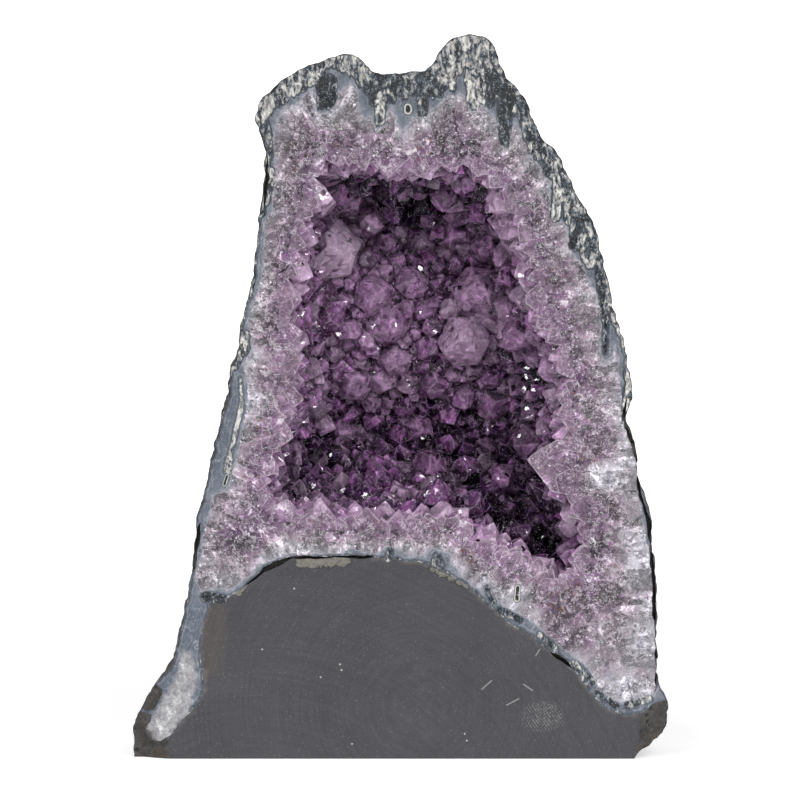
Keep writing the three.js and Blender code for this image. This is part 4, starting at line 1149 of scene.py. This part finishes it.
def sanded_basalt():
    s = Shader("basalt")
    front = sawn_front(s, 0.6)
    x, _, z = s.separate(s.place)[:3]
    arcs = []
    for cx, cz, width in ((8, 22, 0.5), (-60, -60, 0.9)):
        away = s.vector("SUBTRACT", s.place, (cx, 0, cz))
        far = s.node("VectorMath", away, operation="LENGTH").outputs["Value"]
        turn = s.math("ARCTAN2", s.separate(away)[0], s.separate(away)[2])
        arcs.append(s.noise(1, detail=3, place=s.combine(s.math("DIVIDE", far, width), s.times(turn, 1.6), 0.0)))
    fine = s.noise(0.45, detail=3, rough=0.7)
    broad = s.noise(22, detail=2)
    level = s.add(s.times(arcs[0], 0.35), s.times(arcs[1], 0.3), s.times(fine, 0.35), s.times(broad, 0.25))
    sawn = s.ramp(level, (0.2, (0.040, 0.0385, 0.0455)), (0.62, (0.056, 0.0545, 0.0635)), (1.0, (0.077, 0.075, 0.086)))
    brown = s.step(s.add(s.attribute("brown"), s.times(s.noise(4, detail=2, stretch=(0.4, 1, 3)), 3.0)), -2.6, 2.6)
    sawn = s.mix(s.times(brown, 0.45), sawn, (0.105, 0.085, 0.066))
    seam = s.step(s.add(s.attribute("from_rock"), s.times(s.noise(3, detail=3), 2.4)), 3.0, 0.8)
    sawn = s.mix(s.times(seam, s.attribute("wedge"), 0.55), sawn, (0.17, 0.155, 0.14))
    tan = s.add(s.attribute("tan"), s.times(s.math("SUBTRACT", s.noise(2.5, detail=4, rough=0.6), 0.5), 2.2))
    patch = s.mix(s.noise(1.8, detail=4, rough=0.65), (0.13, 0.12, 0.105), (0.30, 0.28, 0.24))
    sawn = s.mix(s.times(s.step(tan, -0.25, 0.35), 0.85), sawn, patch)
    sawn = s.mix(s.peak(tan, -0.2, 0.4), sawn, (0.035, 0.034, 0.038))
    pale = s.step(s.noise(0.6, detail=1), 0.95, 1.0)
    sawn = s.mix(s.times(pale, 0.35), sawn, (0.30, 0.29, 0.28))
    # White bruises, two sets of crossing scratches and a few single ones.
    for x0, z0 in WHITE_SPECKS:
        away = s.node("VectorMath", s.place, (x0, FRONT, z0), operation="DISTANCE").outputs["Value"]
        away = s.add(away, s.times(fine, 0.3))
        sawn = s.mix(s.times(s.step(away, 0.62, 0.4), 0.85), sawn, (0.62, 0.60, 0.58))
    hatch = None
    for (cx, cz, wide, high, lean, pitch) in HATCHING:
        turn = math.radians(lean)
        across = s.add(s.times(x, math.cos(turn)), s.times(z, math.sin(turn)))
        line = s.math("ABSOLUTE", s.math("SUBTRACT", s.math("FRACT", s.math("DIVIDE", across, pitch)), 0.5))
        line = s.step(line, 0.20, 0.06)
        area = s.vector("DIVIDE", s.vector("SUBTRACT", s.place, (cx, FRONT, cz)), (wide, 50, high))
        area = s.step(s.node("VectorMath", area, operation="LENGTH").outputs["Value"], 1.05, 0.9)
        mark = s.times(line, area, s.step(s.noise(0.8, detail=2), 0.25, 0.75))
        hatch = mark if hatch is None else s.math("MAXIMUM", hatch, mark)
    sawn = s.mix(s.times(hatch, 0.4), sawn, (0.42, 0.41, 0.40))
    for x0, z0, x1, z1 in SCRATCHES:
        way = Vector((x1 - x0, 0, z1 - z0))
        offset = s.vector("SUBTRACT", s.place, (x0, FRONT, z0))
        along = s.node("VectorMath", offset, tuple(way / way.length_squared), operation="DOT_PRODUCT").outputs["Value"]
        along = s.node("Clamp", along).outputs[0]
        foot = s.vector("MULTIPLY", s.combine(along, along, along), tuple(way))
        off = s.node("VectorMath", offset, foot, operation="DISTANCE").outputs["Value"]
        sawn = s.mix(s.times(s.step(off, 0.42, 0.12), 0.55), sawn, (0.45, 0.44, 0.43))
    rock, pits = natural_rock(s)
    colour = s.mix(front, rock, sawn)
    strip = s.times(front, s.math("SUBTRACT", 1.0, s.attribute("wedge")))
    thin = s.times(front, s.attribute("wedge"), s.step(s.attribute("rind"), -0.1, 0.4))
    colour = add_rind(s, colour, s.math("MAXIMUM", strip, s.times(thin, 0.8)))
    rough = s.mix(front, (0.92, 0.92, 0.92), (0.62, 0.62, 0.62))
    natural = s.add(s.times(s.noise(1.3, detail=6, rough=0.75), 0.6), s.times(s.noise(5, detail=3), 0.8), s.times(pits, -0.9))
    normal = s.bump(s.mix(front, natural, s.times(fine, 0.08)), 0.7, 0.9)
    return s.finish(colour, s.separate(rough)[0], normal)


def sawn_quartz(s):
    """The quartz of the sawn face, from milky by the agate to purple by the cavity."""
    inner, around, shade, off = (s.attribute(key) for key in ("inner", "around", "shade", "agate"))
    y = s.separate(s.place)[1]
    columns = s.combine(around, s.times(off, 0.4), s.times(y, 0.4))
    broad, medium = s.noise(10, detail=2), s.noise(3.2, detail=3, rough=0.6)
    streaks = s.noise(1.7, detail=4, rough=0.7, place=columns, warp=0.4)
    fine = s.noise(1.05, detail=4, rough=0.75)
    depth = s.add(inner, s.times(s.math("SUBTRACT", broad, 0.5), 0.45), s.times(s.math("SUBTRACT", medium, 0.5), 0.4),
                  s.times(shade, -0.75))
    body = s.ramp(depth, (0.0, (0.32, 0.31, 0.35)), (0.22, (0.27, 0.235, 0.275)), (0.5, (0.20, 0.14, 0.19)),
                  (0.8, (0.125, 0.07, 0.13)), (1.0, (0.075, 0.032, 0.085)))
    level = s.add(s.times(fine, 0.26), s.times(streaks, 0.40), s.times(medium, 0.34))
    busy = s.step(s.add(s.noise(6.0, detail=3, warp=0.5), s.times(inner, 0.15)), 0.30, 0.75)
    level = s.add(s.times(s.math("SUBTRACT", level, 0.5), s.add(s.times(busy, 1.1), 0.45)), 0.5)
    gain = s.ramp(level, (0.22, 0.25), (0.4, 0.74), (0.54, 1.20), (0.66, 2.0), (0.85, 2.8))
    gain = s.times(s.separate(gain)[0], s.add(s.times(shade, 0.5), 1.0))
    colour = s.mix(s.times(s.step(level, 0.58, 0.82), 0.7), s.shade(body, gain), (0.86, 0.83, 0.86))
    # Cut crystals with pale winding borders, larger towards the cavity.
    for size, near, far, strength in ((3.2, 0.0, 0.9, 0.3), (6.5, 0.15, 0.55, 0.45)):
        warp = s.noise(size * 0.6, detail=3, rough=0.6)
        bent = s.vector("ADD", s.place if near else columns, s.combine(s.times(warp, size * 0.8), 0.0, s.times(warp, size * -0.6)))
        border = s.cells(size, place=bent, stretch=(1, 2, 1), feature="DISTANCE_TO_EDGE")
        tint = s.separate(s.cells(size, "Color", place=bent, stretch=(1, 2, 1)))
        where = s.step(inner, near, far) if near else 1.0
        darker = s.ramp(tint[0], (0.0, 0.25), (0.5, 0.85), (1.0, 1.75))
        colour = s.mix(s.times(where, 0.8), colour, s.shade(colour, s.separate(darker)[0]))
        line = s.times(s.step(border, 0.08, 0.02), s.step(s.noise(1.8, detail=2), 0.35, 0.8), where,
                       s.add(s.times(s.attribute("grown"), -0.7), 1.0), strength)
        colour = s.mix(line, colour, (0.74, 0.66, 0.74))
    for size, width, strength in ((2.6, 0.075, 0.6), (1.3, 0.06, 0.4)):
        winding = s.peak(s.noise(size, detail=2, warp=1.1), 0.5, width)
        gaps = s.times(s.step(s.noise(size * 1.7, detail=2), 0.38, 0.7), s.add(s.times(busy, 0.6), 0.4))
        colour = s.mix(s.times(winding, gaps, strength), colour, (0.80, 0.74, 0.80))
    glitter = s.times(s.step(s.noise(0.75, detail=2), 0.80, 0.93), s.add(s.times(busy, 0.8), 0.2))
    colour = s.mix(s.times(glitter, 0.8), colour, (0.97, 0.95, 0.97))
    colour = s.mix(s.times(s.step(s.noise(1.3, detail=2), 0.20, 0.08), busy, 0.75), colour, (0.040, 0.020, 0.045))
    iron = s.times(s.step(s.noise(1.5, detail=3, rough=0.6), 0.74, 0.88), s.step(inner, 0.3, 0.7),
                   s.step(s.noise(15, detail=1), 0.5, 0.68))
    return s.mix(s.times(iron, 0.9), colour, (0.26, 0.085, 0.025))


def cut_agate():
    s = Shader("agate", IOR=1.54)
    front = sawn_front(s)
    colour = add_rind(s, sawn_quartz(s), front)
    colour = s.mix(front, natural_rock(s)[0], colour)
    druse = s.add(s.attribute("druse"), s.times(s.math("SUBTRACT", s.noise(3, detail=3), 0.5), 1.6))
    mass = s.add(s.times(s.noise(1.3, detail=4, rough=0.75), 0.6), s.times(s.noise(4, detail=2), 0.4))
    grains = s.ramp(mass, (0.15, (0.16, 0.16, 0.18)), (0.45, (0.34, 0.33, 0.35)), (0.62, (0.46, 0.45, 0.46)),
                    (0.85, (0.86, 0.85, 0.86)))
    colour = s.mix(s.times(s.step(druse, -2.0, 0.9), 0.95), colour, grains)
    rough = s.ramp(s.noise(1.2, detail=3), (0.3, 0.25), (0.7, 0.5))
    return s.finish(colour, rough, s.facets(0.8, 0.4, s.add(s.times(s.step(druse, -0.8, 0.6), 0.7), 0.3)))


def crust_quartz():
    s = Shader("quartz_crust", IOR=1.544)
    colour = add_rind(s, sawn_quartz(s), sawn_front(s))
    # The walls of the cavity behind the clear crystals.
    wall = s.mix(s.noise(3.5, detail=4, rough=0.6), (0.035, 0.008, 0.045), (0.20, 0.065, 0.22))
    colour = s.mix(s.step(s.attribute("behind"), 1.6, 4.5), colour, wall)
    outside = s.times(s.step(s.attribute("inner"), 0.06, 0.02), s.step(s.attribute("behind"), 1.2, 2.4))
    colour = s.mix(outside, colour, natural_rock(s)[0])
    # The cut crystals along the rim.
    veins = s.noise(2.2, detail=5, rough=0.7, warp=0.8)
    tooth = s.mix(s.attribute("tone"), (0.22, 0.10, 0.22), (0.46, 0.28, 0.45))
    tooth = s.mix(s.step(veins, 0.45, 0.95), tooth, (0.76, 0.62, 0.75))
    tooth = s.mix(s.times(s.step(veins, 0.3, 0.05), 0.6), tooth, (0.06, 0.02, 0.07))
    # Paler bevels: a painted highlight on the edges of the standing faces, the crystals' pale border on the sawn faces.
    tooth = s.mix(s.times(s.attribute("edge"), 0.5), tooth, (0.85, 0.76, 0.85))
    grown, cut = s.attribute("grown"), s.attribute("cut")
    colour = s.mix(s.times(grown, s.math("SUBTRACT", 1.0, cut)), colour, tooth)
    colour = s.mix(s.times(grown, cut, 0.3), colour, tooth)
    border = s.times(grown, cut, s.attribute("edge"), s.step(s.noise(2.4, detail=3), 0.25, 0.75))
    colour = s.mix(s.times(border, 0.4), colour, (0.84, 0.76, 0.83))
    rough = s.ramp(s.noise(0.62, detail=2), (0.2, 0.10), (0.8, 0.45))
    return s.finish(colour, rough, s.facets(1.1, 0.5))


def clear_amethyst(name, density, chip):
    s = Shader(name, IOR=1.544, Transmission_Weight=0.5)
    tone, pale, edge, growth = (s.attribute(key) for key in ("tone", "pale", "edge", "growth"))
    purple = s.mix(tone, (0.045, 0.008, 0.080), (0.66, 0.26, 0.68))
    colour = s.mix(pale, purple, (0.95, 0.70, 0.94))
    veil, cloud = s.noise(3.6, detail=4, rough=0.6, warp=0.7), s.noise(1.4, detail=2, rough=0.6)
    smooth = s.add(s.times(pale, 0.45), 0.2)
    gain = s.ramp(s.add(s.times(veil, 0.68), s.times(cloud, 0.32)), (0.2, 0.25), (0.42, 0.70), (0.55, 1.1), (0.7, 2.1), (0.85, 3.2))
    colour = s.shade(colour, s.separate(s.mix(smooth, gain, (1.15, 1.15, 1.15)))[0])
    cracks = s.times(s.peak(s.noise(2.4, detail=2, warp=1.2), 0.5, 0.06), s.step(s.noise(4, detail=2), 0.4, 0.7))
    colour = s.mix(s.times(cracks, 0.6), colour, (0.95, 0.85, 0.95))
    # Painted shade and light: each crystal darker towards its root among the others and lighter at its tip, pale
    # crystals less so; a negative tone darkens it further as the painted shade of the recesses.
    depth = s.mix(s.times(pale, 0.6), s.ramp(growth, (0.0, 0.05), (0.4, 0.48), (0.9, 1.3)), (1.35, 1.35, 1.35))
    colour = s.shade(colour, s.times(s.separate(depth)[0], s.step(tone, -0.9, 0.15)))
    # Painted highlight along the bevelled edges, as if they catch the light, left off the darkest crystals.
    colour = s.mix(s.times(edge, s.step(s.noise(2, detail=2), 0.2, 0.8), s.step(tone, -0.6, 0.2), 0.55), colour, (0.92, 0.78, 0.94))
    # Small white specks: partly white inclusions, partly painted glints.
    colour = s.mix(s.times(s.step(s.noise(0.8, detail=2), 0.82, 0.95), 0.85), colour, (1.0, 0.97, 1.0))
    iron = s.step(s.noise(1.4, detail=2), 0.93, 1.0)
    colour = s.mix(s.times(iron, 0.6), colour, (0.30, 0.10, 0.04))
    rough = s.ramp(s.noise(2.2, detail=2), (0.3, 0.015), (0.8, 0.06))
    # Steps and chips on the faces lean their own ways and catch the lights. Some chip cells also get a painted glint, a
    # pale lilac in their colour, left off the crystals darkened as shade.
    chips = s.step(s.noise(4.2, detail=2, rough=0.6), 0.52, 0.62)
    painted_chip_glints = s.times(chips, s.step(s.separate(s.cells(chip, "Color"))[1], 0.30, 0.24), s.step(tone, -0.7, 0.3))
    colour = s.mix(s.times(painted_chip_glints, 0.6), colour, (0.88, 0.56, 0.92))
    normal = s.bump(s.noise(1.3, detail=2, rough=0.5), 0.02, 0.4, s.facets(chip, 1.7, s.add(s.times(chips, 0.9), 0.1)))
    s.finish(colour, rough, normal)
    volume = s.node("VolumeAbsorption")
    volume.inputs["Color"].default_value = (0.50, 0.12, 0.56, 1)
    volume.inputs["Density"].default_value = density
    s.tree.links.new(volume.outputs[0], s.tree.nodes["Material Output"].inputs["Volume"])
    return s.material


# White bruises, hatched areas (middle, half width and height, lean, pitch) and scratches in the sanded rock.
WHITE_SPECKS = [(-57.2, 45.6), (-24.9, 39.4), (-24.3, 37), (-43.9, 70.9), (-19.9, 6.2), (26.9, 10.4), (27.8, 7.6), (-33, 34)]
HATCHING = [(59, 17.5, 9.5, 6.5, 35, 1.1), (61, 19, 6.5, 5.5, -52, 1.0)]
SCRATCHES = [(34, 29, 38, 32.5), (44.4, 22.4, 49.3, 25), (51.4, 31, 55, 28.5), (56.4, 43, 58, 45.5)]


# --- Stage --------------------------------------------------------------------------------------------------

VIEW_HEIGHT = 331.5  # how much of the sawn plane the frame shows, in millimetres
VIEW_FROM = 1700  # the camera's distance from the sawn plane
VIEW_UP = math.radians(2)
LOOK_AT = Vector((0.0, FRONT, 149.2))


def camera():
    data = bpy.data.cameras.new("camera")
    data.sensor_width = 36
    data.lens = 36 * VIEW_FROM / VIEW_HEIGHT
    data.clip_end = 100
    eye = LOOK_AT + Vector((0, -math.cos(VIEW_UP), math.sin(VIEW_UP))) * VIEW_FROM
    item = bpy.data.objects.new("camera", data)
    item.location = eye * MM
    item.rotation_euler = (LOOK_AT - eye).to_track_quat("-Z", "Y").to_euler()
    bpy.context.scene.collection.objects.link(item)
    bpy.context.scene.camera = item


def softbox(name, place, size, power, aim=(0, 0, 150)):
    data = bpy.data.lights.new(name, "AREA")
    data.shape, data.size, data.size_y = "RECTANGLE", size[0] * MM, size[1] * MM
    data.energy = power
    item = bpy.data.objects.new(name, data)
    item.location = Vector(place) * MM
    item.rotation_euler = (Vector(aim) - Vector(place)).to_track_quat("-Z", "Y").to_euler()
    bpy.context.scene.collection.objects.link(item)


def stage():
    s = Shader("stage")
    s.finish((0.95, 0.95, 0.95), 0.9)
    s.surface.inputs["Emission Color"].default_value = (1, 1, 1, 1)
    s.put(s.surface.inputs["Emission Strength"], s.add(s.times(s.step(s.separate(s.place)[1], 100, 1500), 0.35), 0.5))
    wide, front, bend, back, top, segments = 2200, -380, 500, 2700, 2600, 12
    profile = [(front, 0), (back - bend, 0)]
    for k in range(1, segments + 1):
        turn = QUARTER_TURN * k / segments
        profile.append((back - bend + bend * math.sin(turn), bend - bend * math.cos(turn)))
    profile.append((back, top))
    vertices = [(x, y, z) for y, z in profile for x in (-wide, wide)]
    faces = [(2 * k, 2 * k + 1, 2 * k + 3, 2 * k + 2) for k in range(len(profile) - 1)]
    floor = mesh_object("stage", vertices, faces)
    floor.data.polygons.foreach_set("use_smooth", [True] * len(faces))
    floor.data.materials.append(s.material)
    world = bpy.data.worlds.new("studio")
    world.use_nodes = True
    world.node_tree.nodes["Background"].inputs["Color"].default_value = (1, 1, 1, 1)
    world.node_tree.nodes["Background"].inputs["Strength"].default_value = 0.2
    bpy.context.scene.world = world
    bpy.context.scene.view_settings.view_transform = "Standard"


# --- The pieces put together --------------------------------------------------------------------------------


WELD = 0.08  # corners of a pinhole closer than this become one


def mend(piece):
    """Drops the doubled and stray faces and closes the pinholes that the joins leave."""
    piece.data.validate()
    net = bmesh.new()
    net.from_mesh(piece.data)
    stray = [f for f in net.faces if all(len(e.link_faces) == 1 for e in f.edges)]
    bmesh.ops.delete(net, geom=stray, context="FACES")
    at_holes = list({v for e in net.edges if len(e.link_faces) == 1 for v in e.verts})
    bmesh.ops.remove_doubles(net, verts=at_holes, dist=WELD * MM)
    bmesh.ops.holes_fill(net, edges=[e for e in net.edges if len(e.link_faces) == 1], sides=0)
    net.to_mesh(piece.data)
    net.free()
    piece.data.validate()


def dress(piece, material, slot, *nodes):
    mend(piece)
    piece.data.materials.clear()
    piece.data.materials.append(material)
    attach(piece, "root")
    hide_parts(*nodes)


camera()
softbox("key", (480, -1200, 900), (260, 200), 3.7)
softbox("top", (-200, -450, 1250), (170, 140), 1.8)
softbox("left", (-1000, -950, 400), (140, 130), 1.4)
SPARKS = [(-450, -1400, 700), (0, -1700, 420), (850, -1250, 250), (150, -900, 1300), (-750, -1300, 1000),
          (900, -1000, 750), (-350, -1600, 150), (500, -1600, 500), (-1250, -800, 700), (250, -1500, 900),
          (-200, -1300, 1100), (1150, -850, 450), (-850, -1500, 550), (700, -900, 1150)]
for number, place in enumerate(SPARKS):
    softbox(f"spark_{number}", place, (105, 105), 0.75)
stage()

rock = basalt_rock()
mark_layers(rock)
dress(rock, sanded_basalt(), "basalt", "basalt_matrix")
agate = agate_band()
mark_layers(agate)
dress(agate, cut_agate(), "agate", "agate_layer")

crust = quartz_crust()
rim, clear, fine = Crystals(), Crystals(), Crystals()
great_crystals(clear)
rim_crystals(rim, clear)
fill_wall(clear, SIZES, 0.03)
fine.feet, fine.radii = list(clear.feet), list(clear.radii)
fill_wall(fine, DRUSE, 0.0)
set_attribute(crust, "grown", np.zeros(len(crust.data.polygons)), "FACE")
teeth = crystal_mesh("teeth", rim.rows, EDGE_CUT, rim=True)
set_attribute(teeth, "grown", np.ones(len(teeth.data.polygons)), "FACE")
boolean(crust, teeth, "UNION")
mark_layers(crust)
dress(crust, crust_quartz(), "amethyst", "amethyst_crystals")

points = crystal_mesh("amethyst_points", clear.rows, EDGE_CUT)
dress(points, clear_amethyst("amethyst", 60, 2.3), "amethyst", "amethyst_crystals")
druse = crystal_mesh("amethyst_druse", fine.rows, 0)
dress(druse, clear_amethyst("amethyst_fine", 120, 1.5), "amethyst", "amethyst_crystals")
